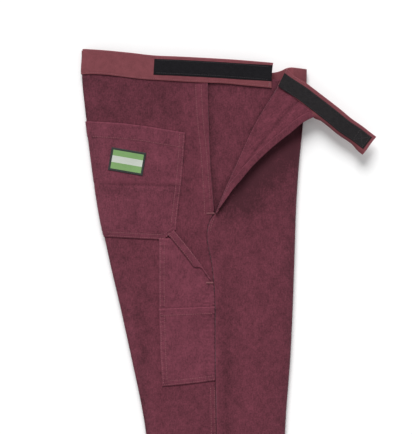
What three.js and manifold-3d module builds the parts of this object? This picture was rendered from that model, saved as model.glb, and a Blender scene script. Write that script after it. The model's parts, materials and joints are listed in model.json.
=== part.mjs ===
// Corduroy work trousers with a hook-and-loop side opening, laid flat in profile.
// The right leg lies on top, centre back to the left (-X), centre front to the right (+X),
// the waist at the top (+Y), and the cloth layers are stacked upwards (+Z).
// The drawing frame starts where the right outseam meets the top edge of the waistband;
// the finished group is moved so that its origin is the bottom centre of its bounding box.
import * as THREE from "three";
import { mergeVertices } from "three/addons/utils/BufferGeometryUtils.js";
import Module from "manifold-3d";

// ---- Driving dimensions, in millimetres and degrees ----
const clearance = 0.3; // between pieces that touch
const corduroy = 1.2; // thickness of the shell cloth
const twill = 0.6; // thickness of one waistband ply
const tapeThickness = 1; // hook tape and loop tape
const facingCloth = 0.8; // thickness of turned hems and facings
const labelThickness = 0.6;
const seamWall = 2; // width of a folded edge where two layers meet
const legRoom = 7; // height inside each flattened leg
const pocketRoom = 4.8; // height inside each patch pocket

const outseamLength = 1020;
const outseamLean = 8; // how far the outseam drifts forwards by knee height
const waistBack = 208; // outseam to centre back
const waistFront = 152; // outseam to centre front
const waistTilt = 4.3; // the back of the waist is higher than the front
const frontTilt = 5.1;
const frontDrop = 3.5;
const seatBack = 197;
const seatDepth = 138;
const thighBack = 166.5;
const thighFront = 133;
const thighDepth = 317;
const kneeBack = 107.5;
const kneeFront = 118;
const kneeDepth = 582;
const hemBack = 84;
const hemFront = 111;
const frontHip = 141;
const frontHipDepth = 160;
const crotchDepth = 290;
const crotchBackRise = 150; // how far above the crotch its curve meets the back fold
const crotchFrontRise = 90;
const hemTurnUp = 25;

const bandHeight = 40;
const seamAllowance = 10; // cloth held inside the waistband
const tapeWidth = 25;
const tapeTopMargin = 4;
const slitDepth = 248; // length of the side opening
const foldReach = 102.7; // outseam to the top of the folded flap
const foldDrop = 28.2; // top of the fold below the waist
const foldClearance = 2; // cloth edges to the fold line
const slitInset = 9.6; // foot of the fold line in front of the outseam
const flapBandAngle = 37.5; // open flap's waistband, below horizontal
const flapBandLength = 88;
const flapEdgeBow = 10;
const tabLength = 99;
const tabJointGap = 0.6;
const underlapReach = 97;
const underlapLap = 14; // underlap below the foot of the slit
const facingWidth = 14;
const flapTapeStart = 14;
const backTapeReach = 91; // loop tape's back end from the outseam
const outseamLap = 10;

const backPocketTop = 101;
const backPocketSlope = 18.8; // the mouth is lower towards the outseam
const backPocketFront = 43;
const backPocketTaper = 14.5;
const backPocketBottom = 291;
const backPocketCorner = 19;
const labelLength = 56.5;
const labelHeight = 37;
const labelAngle = 9.5;
const labelBack = 134; // centre of the label from the outseam
const labelDepth = 165;
const toolPocketBack = 84.8;
const toolPocketTop = 293.5;
const toolPocketBottom = 524;
const toolPocketRise = 8; // the bottom edge is higher towards the outseam
const toolMouthBack = 62;
const toolMouthDepth = 63;
const toolMouthBend = 20;
const toolMouthBendRise = 17;
const lowerMouth = 401;
const lowerMouthStep = 22; // upper patch is stitched down this far above the lower mouth
const bindingWidth = 10;
const bartackLength = 12;
const bartackWidth = 3;

// ---- Heights of the cloth layers, from the floor up ----
const pocketUnderside = 0;
const leftOuter = pocketUnderside + corduroy + clearance;
const leftInner = leftOuter + corduroy + legRoom;
const rightInner = leftInner + corduroy + clearance;
const rightBack = rightInner + corduroy + legRoom;
const rightFront = rightBack + corduroy + clearance;
const patchBase = rightFront;
const patchTop = rightBack + corduroy + pocketRoom;
const lowerPatchTop = patchBase + corduroy + pocketRoom;
const bandRoom = corduroy + 2 * clearance;
const bandThickness = bandRoom + 2 * twill;
const bandInset = twill + clearance; // band's face to the cloth inside it
const backBandTop = rightBack + corduroy + bandInset;
const backTape = backBandTop + clearance;
const frontBandTop = rightFront + corduroy + bandInset;
const flapBand = frontBandTop + clearance;
const flapCloth = flapBand + bandInset;
const flapTape = flapBand + bandThickness + clearance;
const closedTape = backTape + tapeThickness + clearance;
const foldHeight = (flapTape + tapeThickness + closedTape) / 2;

// ---- Shapes ----
const wasm = await Module();
wasm.setup();

const vec = (x, y) => new THREE.Vector2(x, y);
const radians = THREE.MathUtils.degToRad;

// A flat plate: an outline extruded from one height to another.
function plate(outline, bottom, top) {
  const geometry = new THREE.ExtrudeGeometry(new THREE.Shape(outline), {
    depth: top - bottom,
    bevelEnabled: false,
  });
  return geometry.translate(0, 0, bottom);
}

// A box between two corners.
function block(low, high) {
  const size = high.map((value, axis) => value - low[axis]);
  const middle = high.map((value, axis) => (value + low[axis]) / 2);
  return new THREE.BoxGeometry(...size).translate(...middle);
}

function toManifold(geometry) {
  geometry.deleteAttribute("normal");
  geometry.deleteAttribute("uv");
  const merged = mergeVertices(geometry);
  const vertProperties = Float32Array.from(merged.attributes.position.array);
  const triVerts = Uint32Array.from(merged.index.array);
  return new wasm.Manifold(new wasm.Mesh({ numProp: 3, vertProperties, triVerts }));
}

function toGeometry(manifold) {
  const mesh = manifold.getMesh();
  const geometry = new THREE.BufferGeometry();
  geometry.setAttribute("position", new THREE.BufferAttribute(mesh.vertProperties, 3));
  geometry.setIndex(new THREE.BufferAttribute(mesh.triVerts, 1));
  geometry.computeVertexNormals();
  return geometry;
}

const join = (...geometries) =>
  toGeometry(geometries.map(toManifold).reduce((whole, piece) => whole.add(piece)));
const cut = (geometry, tool) => toGeometry(toManifold(geometry).subtract(toManifold(tool)));

// A point given along and down from the top edge of a tilted waistband.
function onBand(along, up, tilt, drop = 0) {
  return vec(along, up).rotateAround(vec(0, 0), -radians(tilt)).add(vec(0, -drop));
}

// The place along a sampled edge at one height, by linear interpolation.
function edgeAt(edge, y) {
  const last = edge.findIndex((point) => point.y <= y);
  const after = edge[Math.max(last, 1)];
  const before = edge[Math.max(last, 1) - 1];
  const share = (y - before.y) / (after.y - before.y);
  return before.x + share * (after.x - before.x);
}

// The stretch of an edge between two heights, pushed sideways by an inset.
function stretch(edge, top, bottom, inset = 0) {
  const between = edge.filter((point) => point.y < top && point.y > bottom);
  const ends = [vec(edgeAt(edge, top), top), ...between, vec(edgeAt(edge, bottom), bottom)];
  return ends.map((point) => vec(point.x + inset, point.y));
}

const edgeSamples = 14;
const backEdge = new THREE.SplineCurve([
  vec(-waistBack + 2, 20),
  vec(-waistBack - 1, -bandHeight / 2),
  vec(-seatBack, -seatDepth),
  vec(-thighBack, -thighDepth),
  vec(-kneeBack, -kneeDepth),
  vec(-hemBack, -outseamLength),
]).getPoints(edgeSamples);
const frontEdge = new THREE.SplineCurve([
  vec(waistFront + 1, 20),
  vec(waistFront - 1, -bandHeight),
  vec(frontHip, -frontHipDepth),
  vec(thighFront, -thighDepth),
  vec(kneeFront, -kneeDepth),
  vec(hemFront, -outseamLength),
]).getPoints(edgeSamples);
const outseamAt = (y) => -2 - (y / kneeDepth) * outseamLean;
const outseamPoint = (y, offset = 0) => vec(outseamAt(y) + offset, y);

const foldFoot = vec(outseamAt(-slitDepth) + slitInset, -slitDepth);
const foldTop = vec(foldReach, -foldDrop);
const foldDirection = foldTop.clone().sub(foldFoot).normalize();
const foldSide = vec(foldDirection.y, -foldDirection.x); // points at the open flap
const onFold = (along, aside) =>
  foldFoot.clone().addScaledVector(foldDirection, along).addScaledVector(foldSide, aside);

// ---- Materials ----
const cloth = (color) => new THREE.MeshStandardMaterial({ color, roughness: 0.9, metalness: 0 });
const corduroyMaterial = cloth(0x6b3a45);
const pocketMaterial = cloth(0x71404b);
const twillMaterial = cloth(0x81494f);
const tapeMaterial = cloth(0x2a2729);
const liningMaterial = cloth(0x5e313e);
const labelMaterial = cloth(0xb9cdb4);
const threadMaterial = cloth(0x9a5a62);

const trousers = new THREE.Group();
const backBandFrame = new THREE.Group();
const frontBandFrame = new THREE.Group();
const flapFrame = new THREE.Group();
backBandFrame.rotation.z = -radians(waistTilt);
frontBandFrame.rotation.z = -radians(frontTilt);
frontBandFrame.position.y = -frontDrop;
flapFrame.position.set(foldTop.x, foldTop.y, 0);
flapFrame.rotation.z = -radians(flapBandAngle);
trousers.add(backBandFrame, frontBandFrame, flapFrame);

function add(name, geometry, material, parent = trousers) {
  const mesh = new THREE.Mesh(geometry, material);
  mesh.name = name;
  parent.add(mesh);
}

// ---- Leg panels: an outer layer, a folded edge and an inner layer in one piece of cloth ----
const hemLine = -outseamLength;
const inseamAt = () => hemFront / 5;

// The inner layer of a leg, below the curved crotch seam.
function innerOutline(edge, rise, sign) {
  const top = -crotchDepth + rise;
  const crotch = vec(inseamAt() + (sign * clearance) / 2, -crotchDepth);
  const start = vec(edgeAt(edge, top), top);
  const bend = vec(start.x * 0.55 + crotch.x * 0.45, -crotchDepth);
  const seam = new THREE.QuadraticBezierCurve(start, bend, crotch).getPoints(10);
  const hem = vec(crotch.x, hemLine);
  return [...seam, hem, ...stretch(edge, top, hemLine).reverse().slice(0, -1)];
}

// The folded edge that joins the two layers, below the waistband.
function foldedEdge(edge, top, sign) {
  return [...stretch(edge, top, hemLine), ...stretch(edge, top, hemLine, -sign * seamWall).reverse()];
}

function legPanel(outline, edge, layer, side) {
  const edgeTop = layer.edgeTop;
  const rise = side > 0 ? crotchFrontRise : crotchBackRise;
  return join(
    plate(outline, layer.outer, layer.outer + corduroy),
    plate(foldedEdge(edge, edgeTop, side), layer.low, layer.high),
    plate(innerOutline(edge, rise, side), layer.inner, layer.inner + corduroy),
  );
}

const backBandBottom = (x) => onBand(x, -bandHeight - clearance, waistTilt);
const frontBandBottom = (x) => onBand(x, -bandHeight - clearance, frontTilt, frontDrop);
const backCornerX = -waistBack + 1;
const frontCornerX = waistFront - 3;
const backEdgeTop = backBandBottom(-waistBack + 2 * seamWall).y - clearance;
const frontEdgeTop = frontBandBottom(waistFront + 2 * seamWall).y - clearance;
const clothTop = -bandHeight + seamAllowance;

// Right back: it ends at the side opening, and laps under the front below it.
const lapStart = -slitDepth - underlapLap - 2 * clearance;
const rightBackOutline = [
  onBand(backCornerX, clothTop, waistTilt),
  ...stretch(backEdge, backEdgeTop, hemLine),
  outseamPoint(hemLine, outseamLap),
  outseamPoint(lapStart, outseamLap),
  outseamPoint(lapStart, -clearance / 2),
  onBand(outseamAt(0) - clearance / 2, clothTop, waistTilt),
];
const rightBackLayer = {
  outer: rightBack, low: rightInner, high: rightBack + corduroy, inner: rightInner, edgeTop: backEdgeTop,
};
add("right_back_panel", legPanel(rightBackOutline, backEdge, rightBackLayer, -1), corduroyMaterial);

// Right front: its side edge is turned open along the fold above the foot of the slit.
const foldLength = foldTop.distanceTo(foldFoot);
const stubStart = foldReach + foldClearance + 5;
const frontFoldTop = frontBandBottom(stubStart).y - clearance;
const foldShare = (frontFoldTop - foldFoot.y) / (foldTop.y - foldFoot.y);
const rightFrontOutline = [
  onFold(0, foldClearance),
  outseamPoint(-slitDepth, clearance),
  outseamPoint(hemLine, clearance),
  ...stretch(frontEdge, frontEdgeTop, hemLine).reverse(),
  frontBandBottom(frontCornerX),
  onBand(frontCornerX, clothTop, frontTilt, frontDrop),
  onBand(stubStart + 1, clothTop, frontTilt, frontDrop),
  vec(stubStart + 1, frontFoldTop),
  onFold(foldLength * foldShare, foldClearance),
];
const rightFrontLayer = {
  outer: rightFront, low: rightInner, high: rightFront + corduroy, inner: rightInner, edgeTop: frontEdgeTop,
};
add("right_front_panel", legPanel(rightFrontOutline, frontEdge, rightFrontLayer, 1), corduroyMaterial);

// Left side, lying underneath: two plain panels with a closed, butted outseam.
const leftTop = (x) => onBand(x, clothTop, frontTilt, frontDrop);
const leftBackTop = frontBandBottom(-waistBack + 2 * seamWall).y - clearance;
const leftBackOutline = [
  leftTop(backCornerX),
  ...stretch(backEdge, leftBackTop, hemLine),
  outseamPoint(hemLine, -clearance / 2),
  leftTop(outseamAt(0) - clearance / 2),
];
const leftFrontOutline = [
  leftTop(outseamAt(0) + clearance / 2),
  outseamPoint(hemLine, clearance / 2),
  ...stretch(frontEdge, frontEdgeTop, hemLine).reverse(),
  frontBandBottom(frontCornerX),
  leftTop(frontCornerX),
];
const leftLayer = (edgeTop) => ({
  outer: leftOuter, low: leftOuter, high: leftInner + corduroy, inner: leftInner, edgeTop,
});
add("left_back_panel", legPanel(leftBackOutline, backEdge, leftLayer(leftBackTop), -1), corduroyMaterial);
add("left_front_panel", legPanel(leftFrontOutline, frontEdge, leftLayer(frontEdgeTop), 1), corduroyMaterial);

// ---- Hems, turned up inside each leg ----
function hemStrip(bottom) {
  const top = hemLine + hemTurnUp;
  const inset = seamWall + clearance;
  const outline = [
    ...stretch(backEdge, top, hemLine, inset),
    ...stretch(frontEdge, top, hemLine, -inset).reverse(),
  ];
  return plate(outline, bottom, bottom + facingCloth);
}
const underLayer = clearance + facingCloth;
add("right_outer_hem", hemStrip(rightBack - underLayer), liningMaterial);
add("right_inner_hem", hemStrip(rightInner + corduroy + clearance), liningMaterial);
add("left_inner_hem", hemStrip(leftInner - underLayer), liningMaterial);
add("left_outer_hem", hemStrip(leftOuter + corduroy + clearance), liningMaterial);

// ---- Waistband: twill folded over the cloth edge, with a stiff interfacing inside ----
// A shell runs along +X with its fold at the top and its open edge down.
function bandShell(start, end, bottom) {
  const top = bottom + bandThickness;
  const profile = [
    vec(-bandHeight, bottom), vec(0, bottom), vec(0, top), vec(-bandHeight, top),
    vec(-bandHeight, top - twill), vec(-twill, top - twill),
    vec(-twill, bottom + twill), vec(-bandHeight, bottom + twill),
  ];
  const geometry = new THREE.ExtrudeGeometry(new THREE.Shape(profile), {
    depth: end - start,
    bevelEnabled: false,
  });
  const turn = new THREE.Matrix4().makeBasis(
    new THREE.Vector3(0, 1, 0), new THREE.Vector3(0, 0, 1), new THREE.Vector3(1, 0, 0),
  );
  return geometry.applyMatrix4(turn).translate(start, 0, 0);
}

// The turned end of a band, reaching down or up to meet the band of the other side.
function bandEnd(from, to, low, high) {
  return block([from, -bandHeight, low], [to, 0, high]);
}

function interfacing(start, end, bottom) {
  const low = [start, clothTop + clearance, bottom + bandInset];
  return block(low, [end, -twill - clearance, bottom + bandInset + corduroy]);
}

const backBand = backBandTop - bandThickness;
const frontBand = frontBandTop - bandThickness;
const leftBand = leftOuter - bandInset;
const sideJoin = leftInner + corduroy;
const endInset = seamWall + clearance;
const backEnd = -waistBack;
const frontEnd = waistFront;

add("back_waistband", join(
  bandShell(backEnd, underlapReach, backBand),
  bandEnd(backEnd - seamWall, backEnd, sideJoin + clearance, backBandTop),
), twillMaterial, backBandFrame);
add("back_interfacing",
  interfacing(backEnd + endInset, underlapReach - endInset, backBand), liningMaterial, backBandFrame);
add("front_waistband", join(
  bandShell(stubStart, frontEnd, frontBand),
  bandEnd(frontEnd, frontEnd + seamWall, sideJoin + clearance, frontBandTop),
), twillMaterial, frontBandFrame);
add("front_interfacing",
  interfacing(stubStart + endInset, frontEnd - endInset, frontBand), liningMaterial, frontBandFrame);
add("left_waistband", join(
  bandShell(backEnd, frontEnd, leftBand),
  bandEnd(backEnd - seamWall, backEnd, leftBand, sideJoin),
  bandEnd(frontEnd, frontEnd + seamWall, leftBand, sideJoin),
), twillMaterial, frontBandFrame);
add("left_interfacing",
  interfacing(backEnd + endInset, frontEnd - endInset, leftBand), liningMaterial, frontBandFrame);

// ---- Folded flap: shell cloth, edge facing, waistband and hook tape ----
const bandMiddle = bandHeight / 2;
const flapStart = 8;
const tabStart = flapBandLength + tabJointGap;
const flapPoint = (along, up) =>
  vec(along, up).rotateAround(vec(0, 0), -radians(flapBandAngle)).add(foldTop);
const flapInner = -bandMiddle + seamAllowance;
const flapReach = flapBandLength - endInset;

// The free edge of the flap, bowed towards the fold, moved inwards by an inset.
const footSpread = 2.9; // the fold and the free edge meet at a narrow angle
function flapFreeEdge(inset, topUp) {
  const top = flapPoint(flapReach - inset, topUp);
  const foot = onFold(2 * foldClearance + inset * footSpread, 2.5 * foldClearance);
  const across = top.clone().sub(foot).normalize();
  const middle = top.clone().add(foot).multiplyScalar(0.5);
  middle.addScaledVector(vec(-across.y, across.x), 2 * flapEdgeBow);
  return new THREE.QuadraticBezierCurve(foot, middle, top).getPoints(10);
}
const flapOutline = [
  onFold(3 * foldClearance, foldClearance),
  ...flapFreeEdge(0, -bandMiddle - clearance),
  flapPoint(flapReach, flapInner),
  flapPoint(flapStart + 1, flapInner),
  flapPoint(flapStart + 1, -bandMiddle - clearance),
];
add("side_flap", plate(flapOutline, flapCloth, flapCloth + corduroy), corduroyMaterial);

const facingTop = -bandMiddle - 2 * clearance;
const facingOutline = [
  ...flapFreeEdge(0, facingTop),
  ...flapFreeEdge(facingWidth, facingTop).slice(2).reverse(),
];
const flapFacing = flapCloth + corduroy + clearance;
add("flap_facing", plate(facingOutline, flapFacing, flapFacing + facingCloth), liningMaterial);

const shiftBand = (geometry) => geometry.translate(0, bandMiddle, 0);
add("flap_waistband",
  shiftBand(bandShell(flapStart, flapBandLength, flapBand)), twillMaterial, flapFrame);
add("flap_interfacing",
  shiftBand(interfacing(flapStart + endInset, flapReach, flapBand)), liningMaterial, flapFrame);
const tabEnd = flapBandLength + tabLength;
add("tab_waistband",
  shiftBand(bandShell(tabStart, tabEnd, flapBand)), twillMaterial, flapFrame);
add("tab_interfacing",
  shiftBand(interfacing(tabStart + endInset, tabEnd - endInset, flapBand)), liningMaterial, flapFrame);

const tapeHalf = tapeWidth / 2;
const tabTapeEnd = tabEnd - tapeTopMargin;
add("flap_hook_tape", block(
  [flapTapeStart, -tapeHalf, flapTape],
  [flapBandLength, tapeHalf, flapTape + tapeThickness],
), tapeMaterial, flapFrame);
add("tab_hook_tape", block(
  [tabStart, -tapeHalf, flapTape],
  [tabTapeEnd, tapeHalf, flapTape + tapeThickness],
), tapeMaterial, flapFrame);
add("back_loop_tape", block(
  [-backTapeReach, -tapeTopMargin - tapeWidth, backTape],
  [underlapReach, -tapeTopMargin, backTape + tapeThickness],
), tapeMaterial, backBandFrame);

// ---- Underlap behind the side opening ----
const underlapOutline = [
  onBand(outseamAt(0) + clearance / 2, clothTop, waistTilt),
  outseamPoint(-slitDepth - underlapLap, clearance / 2),
  vec(underlapReach - endInset, -slitDepth - underlapLap),
  onBand(underlapReach - endInset, clothTop, waistTilt),
];
add("underlap", plate(underlapOutline, rightBack, rightBack + corduroy), corduroyMaterial);

const facingLow = -slitDepth - 2 * underlapLap;
const facingHigh = onBand(facingWidth, -bandHeight, waistTilt).y - 2 * clearance;
const placketOutline = [
  outseamPoint(facingHigh, -facingWidth),
  outseamPoint(facingLow, -facingWidth),
  outseamPoint(facingLow, facingWidth),
  outseamPoint(facingHigh, facingWidth),
];
add("placket_facing",
  plate(placketOutline, rightBack - underLayer, rightBack - clearance), liningMaterial);
const slitBar = outseamAt(-slitDepth);
add("slit_bartack", block(
  [slitBar - bartackLength, -slitDepth - bartackWidth, rightFront],
  [slitBar - clearance, -slitDepth, rightFront + twill],
), threadMaterial);

// ---- Patch pockets: a raised patch whose side and bottom edges come down to the panel ----
function patch(outline, inside, bottom, top) {
  return cut(plate(outline, bottom, top + corduroy), plate(inside, bottom - 1, top));
}

function backPocketOutline(inset, mouthExtra) {
  const edgeInset = foldClearance + inset;
  const bottom = -backPocketBottom + inset;
  const top = -backPocketTop + mouthExtra;
  const frontTop = -backPocketTop - backPocketSlope + mouthExtra;
  const side = -backPocketFront - inset;
  return [
    ...stretch(backEdge, top, bottom, edgeInset),
    vec(side - backPocketTaper - backPocketCorner, bottom),
    vec(side - backPocketTaper, bottom + backPocketCorner),
    vec(side, frontTop),
  ];
}
const backPatch = patch(
  backPocketOutline(0, 0), backPocketOutline(seamWall, 2 * backPocketSlope), patchBase, patchTop,
);
add("right_back_pocket", backPatch, pocketMaterial);
add("left_back_pocket",
  plate(backPocketOutline(0, 0), pocketUnderside, pocketUnderside + corduroy), pocketMaterial);

const label = block(
  [-labelLength / 2, -labelHeight / 2, 0],
  [labelLength / 2, labelHeight / 2, labelThickness],
);
label.rotateZ(-radians(labelAngle));
label.translate(-labelBack, -labelDepth, patchTop + corduroy + clearance);
add("label_patch", label, labelMaterial);

// The tool pocket's upper patch: raised below its slanted mouth, flat under the lower patch.
const toolRightInset = clearance;
const mouthFoot = -toolPocketTop - toolMouthDepth;
const mouthTop = vec(-toolMouthBack, -toolPocketTop);
const mouthBend = vec(-toolMouthBend, mouthFoot + toolMouthBendRise);
const mouthEnd = outseamPoint(mouthFoot, -toolRightInset);
const stepLine = -lowerMouth + lowerMouthStep;
function upperOutline(inset, mouthExtra) {
  return [
    vec(-toolPocketBack + inset, -toolPocketTop + mouthExtra),
    vec(-toolPocketBack + inset, stepLine + inset),
    outseamPoint(stepLine + inset, -toolRightInset - inset),
    vec(mouthEnd.x - inset, mouthEnd.y + mouthExtra),
    vec(mouthBend.x, mouthBend.y + mouthExtra),
    vec(mouthTop.x, mouthTop.y + mouthExtra),
  ];
}
const raisedPatch = patch(upperOutline(0, 0), upperOutline(seamWall, bindingWidth), patchBase, patchTop);
const patchEnd = cut(
  plate(upperOutline(0, 0), patchBase, patchTop),
  plate([
    vec(-toolPocketBack + seamWall, -lowerMouth),
    vec(bindingWidth, -lowerMouth),
    vec(bindingWidth, -toolPocketTop + bindingWidth),
    vec(-toolMouthBack, -toolPocketTop + bindingWidth),
    vec(-toolMouthBack, -toolPocketTop - seamWall),
    vec(-toolPocketBack + seamWall, -toolPocketTop - seamWall),
  ], patchBase - 1, patchTop + 1),
);
const flatBottom = -toolPocketBottom + seamWall + clearance;
const flatPatch = plate([
  vec(-toolPocketBack + seamWall + clearance, stepLine + seamWall),
  vec(-toolPocketBack + seamWall + clearance, flatBottom),
  outseamPoint(flatBottom + toolPocketRise, -toolRightInset - seamWall - clearance),
  outseamPoint(stepLine + seamWall, -toolRightInset - seamWall - clearance),
], patchBase, patchBase + corduroy);
add("tool_pocket_upper", join(raisedPatch, patchEnd, flatPatch), pocketMaterial);

function lowerOutline(inset, mouthExtra) {
  const bottom = -toolPocketBottom + inset;
  return [
    vec(-toolPocketBack + inset, -lowerMouth + mouthExtra),
    vec(-toolPocketBack + inset, bottom),
    outseamPoint(bottom + toolPocketRise, -toolRightInset - inset),
    outseamPoint(-lowerMouth + mouthExtra, -toolRightInset - inset),
  ];
}
add("tool_pocket_lower", patch(
  lowerOutline(0, 0), lowerOutline(seamWall, bindingWidth), patchBase, lowerPatchTop,
), pocketMaterial);

const bindingBase = patchTop + corduroy + clearance;
const bindingLine = [mouthTop, mouthBend, mouthEnd];
const bindingOutline = [
  ...bindingLine,
  ...bindingLine.map((point) => vec(point.x, point.y - bindingWidth)).reverse(),
];
add("tool_pocket_binding",
  plate(bindingOutline, bindingBase, bindingBase + twill), pocketMaterial);
const toolBar = mouthEnd.y - bindingWidth - clearance;
add("tool_pocket_bartack", block(
  [mouthEnd.x - bartackLength, toolBar - bartackWidth, bindingBase],
  [mouthEnd.x - clearance, toolBar, bindingBase + twill],
), threadMaterial);

// ---- Origin at the bottom centre of the bounding box ----
trousers.updateMatrixWorld(true);
const bounds = new THREE.Box3().setFromObject(trousers, true);
const centre = bounds.getCenter(new THREE.Vector3());
trousers.position.set(-centre.x, -centre.y, -bounds.min.z);

export default trousers;
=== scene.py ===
import json

import bmesh
import bpy
import numpy as np
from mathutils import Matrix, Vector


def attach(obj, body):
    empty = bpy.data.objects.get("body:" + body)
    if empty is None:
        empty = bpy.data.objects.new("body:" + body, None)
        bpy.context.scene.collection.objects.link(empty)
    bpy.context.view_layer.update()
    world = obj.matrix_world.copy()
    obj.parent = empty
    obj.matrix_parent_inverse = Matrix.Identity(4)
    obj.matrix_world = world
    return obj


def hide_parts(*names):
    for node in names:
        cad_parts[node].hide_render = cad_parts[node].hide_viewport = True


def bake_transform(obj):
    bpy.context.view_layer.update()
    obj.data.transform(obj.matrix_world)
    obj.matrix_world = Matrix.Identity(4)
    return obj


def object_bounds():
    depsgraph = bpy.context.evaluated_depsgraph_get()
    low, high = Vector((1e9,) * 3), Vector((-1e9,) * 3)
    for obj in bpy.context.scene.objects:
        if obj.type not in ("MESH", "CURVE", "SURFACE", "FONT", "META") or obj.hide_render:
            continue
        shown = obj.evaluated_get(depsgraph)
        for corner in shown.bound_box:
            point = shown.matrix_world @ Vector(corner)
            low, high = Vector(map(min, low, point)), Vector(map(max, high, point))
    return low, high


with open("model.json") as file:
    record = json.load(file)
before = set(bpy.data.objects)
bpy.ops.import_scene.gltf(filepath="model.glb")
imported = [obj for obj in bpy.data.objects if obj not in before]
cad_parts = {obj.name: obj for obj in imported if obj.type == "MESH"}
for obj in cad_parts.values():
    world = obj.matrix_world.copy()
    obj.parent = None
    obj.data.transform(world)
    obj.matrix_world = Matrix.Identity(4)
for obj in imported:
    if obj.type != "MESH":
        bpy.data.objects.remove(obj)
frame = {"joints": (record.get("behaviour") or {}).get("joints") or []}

cad_low, cad_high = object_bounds()

# ---- Studio -----------------------------------------------------------------------------
# A pale floor, one broad soft light beyond the waist and a white surround. The camera looks
# straight down at the upper half of the garment. Places on the cloth are given in
# millimetres across and below the waist point, where the side seam meets the waist's edge.
MM = 0.001
fold_joint = next(j for j in frame["joints"] if j["name"] == "side_flap_fold")
FOLD_TOP = np.array([102.7, -28.2])
waist_point = np.array(fold_joint["pos_m"][:2]) / MM - FOLD_TOP
VIEW_CENTRE = (-9.6, 254.7)
VIEW_HEIGHT = 694.4
CAMERA_RISE = 4.0
LENS_SENSOR = 36


def spot(across, depth, height):
    """A point on or over the garment as metres in the frame."""
    return np.array([waist_point[0] + across, waist_point[1] - depth, height]) * MM


def aim(item, target):
    """Turns a light or camera so that its -Z axis points at the target, with +Y up."""
    away = Vector(item.location) - Vector(target)
    item.rotation_mode = "QUATERNION"
    item.rotation_quaternion = away.to_track_quat("Z", "Y")


middle = spot(*VIEW_CENTRE, 0)
sky = bpy.data.lights.new("window", "SUN")
sky.energy = 3.3
sky.angle = np.radians(34)
window = bpy.data.objects.new("window", sky)
bpy.context.collection.objects.link(window)
window.location = middle + (-0.22, 1.65, 1.42)
aim(window, middle)
world = bpy.data.worlds.new("surround")
bpy.context.scene.world = world
world.use_nodes = True
world.node_tree.nodes["Background"].inputs["Color"].default_value = (1, 1, 1, 1)
world.node_tree.nodes["Background"].inputs["Strength"].default_value = 0.52
bpy.context.scene.view_settings.view_transform = "Standard"

lens_data = bpy.data.cameras.new("camera")
lens_data.lens = LENS_SENSOR * CAMERA_RISE / (VIEW_HEIGHT * MM)
camera = bpy.data.objects.new("camera", lens_data)
bpy.context.collection.objects.link(camera)
camera.location = middle + (0, 0, CAMERA_RISE + cad_high.z)
bpy.context.scene.camera = camera


# ---- Right back leg -----------------------------------------------------------------------
# A panel of washed cotton needlecord with fine ribs along the leg and paler wear at its seams.
# It rolls round the back crease and is sewn to the front panel at its side. It is cut first,
# so the ways of dyeing and cutting cloth are laid out here.
CORD = 1.2  # thickness of the cord
RIB_PITCH = 1.5


class Wire:
    """A socket in a sum: each operator on it adds one Math node."""

    def __init__(self, finish, socket):
        self.finish, self.socket = finish, socket

    def math(self, operation, *values):
        """One Math node on the given sockets or numbers."""
        inputs = dict(enumerate(values))
        return self.finish.add("ShaderNodeMath", {"operation": operation}, inputs)

    def __add__(self, other):
        return self.math("ADD", self, other)

    def __sub__(self, other):
        return self.math("SUBTRACT", self, other)

    def __rsub__(self, other):
        return self.math("SUBTRACT", other, self)

    def __mul__(self, other):
        return self.math("MULTIPLY", self, other)

    def sine(self):
        """The sine of the value in radians."""
        return self.math("SINE", self)

    def clamp(self):
        """The value, kept between 0 and 1."""
        return self.math("MINIMUM", self.math("MAXIMUM", self, 0.0), 1.0)

    def above(self, edge):
        """1 where the value is more than the edge, else 0."""
        return self.math("GREATER_THAN", self, edge)

    __radd__, __rmul__ = __add__, __mul__


class Finish:
    """One material. add() makes any node from its type, settings and socket values."""

    def __init__(self, name, roughness=0.9, sheen=0.0, tint=(1, 1, 1), specular=0.3):
        self.material = bpy.data.materials.new(name)
        self.material.use_nodes = True
        self.tree = self.material.node_tree
        self.shader = self.tree.nodes["Principled BSDF"]
        self.set(self.shader, {"Roughness": roughness, "Sheen Weight": sheen,
                               "Sheen Roughness": 0.45, "Sheen Tint": (*tint, 1),
                               "Specular IOR Level": specular})

    def set(self, node, inputs):
        """Links each Wire to the node's input of that name and copies every other value."""
        for key, value in inputs.items():
            if isinstance(value, Wire):
                self.tree.links.new(value.socket, node.inputs[key])
            else:
                node.inputs[key].default_value = value

    def add(self, kind, settings=None, inputs=None, output=0):
        """Makes a node of any kind and gives one of its outputs."""
        node = self.tree.nodes.new(kind)
        for key, value in (settings or {}).items():
            setattr(node, key, value)
        self.set(node, inputs or {})
        return Wire(self, node.outputs[output])

    def across_and_along(self):
        """The cloth's own two directions in metres, from the piece's UV map."""
        uv = self.add("ShaderNodeTexCoord", output="UV")
        return [self.add("ShaderNodeSeparateXYZ", None, {0: uv}, side) for side in "XY"]

    def noise(self, across, along, across_scale, along_scale, detail=2.0, roughness=0.55):
        """Noise from 0 to 1, stretched along the cloth when the two scales differ."""
        point = self.add("ShaderNodeCombineXYZ", None,
                         {"X": across * across_scale, "Y": along * along_scale})
        values = {"Vector": point, "Scale": 1.0, "Detail": detail, "Roughness": roughness}
        return self.add("ShaderNodeTexNoise", None, values)

    def mix(self, factor, first, second):
        """The first colour where the factor is 0 and the second where it is 1."""
        values = {0: factor, 6: first, 7: second}
        return self.add("ShaderNodeMix", {"data_type": "RGBA"}, values, 2)

    def attribute(self, name):
        """A value that the mesh holds for each of its points."""
        return self.add("ShaderNodeAttribute", {"attribute_name": name}, None, "Fac")

    def close(self, colour, relief, depth_m):
        """Joins the colour and a bump of that depth to the shader."""
        bump = {"Height": relief, "Strength": 1.0, "Distance": depth_m}
        normal = self.add("ShaderNodeBump", None, bump)
        self.set(self.shader, {"Base Color": colour, "Normal": normal})
        return self.material


def shade(colour, factor):
    """The colour times a factor, with full opacity."""
    return (*[channel * factor for channel in colour], 1)


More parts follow.
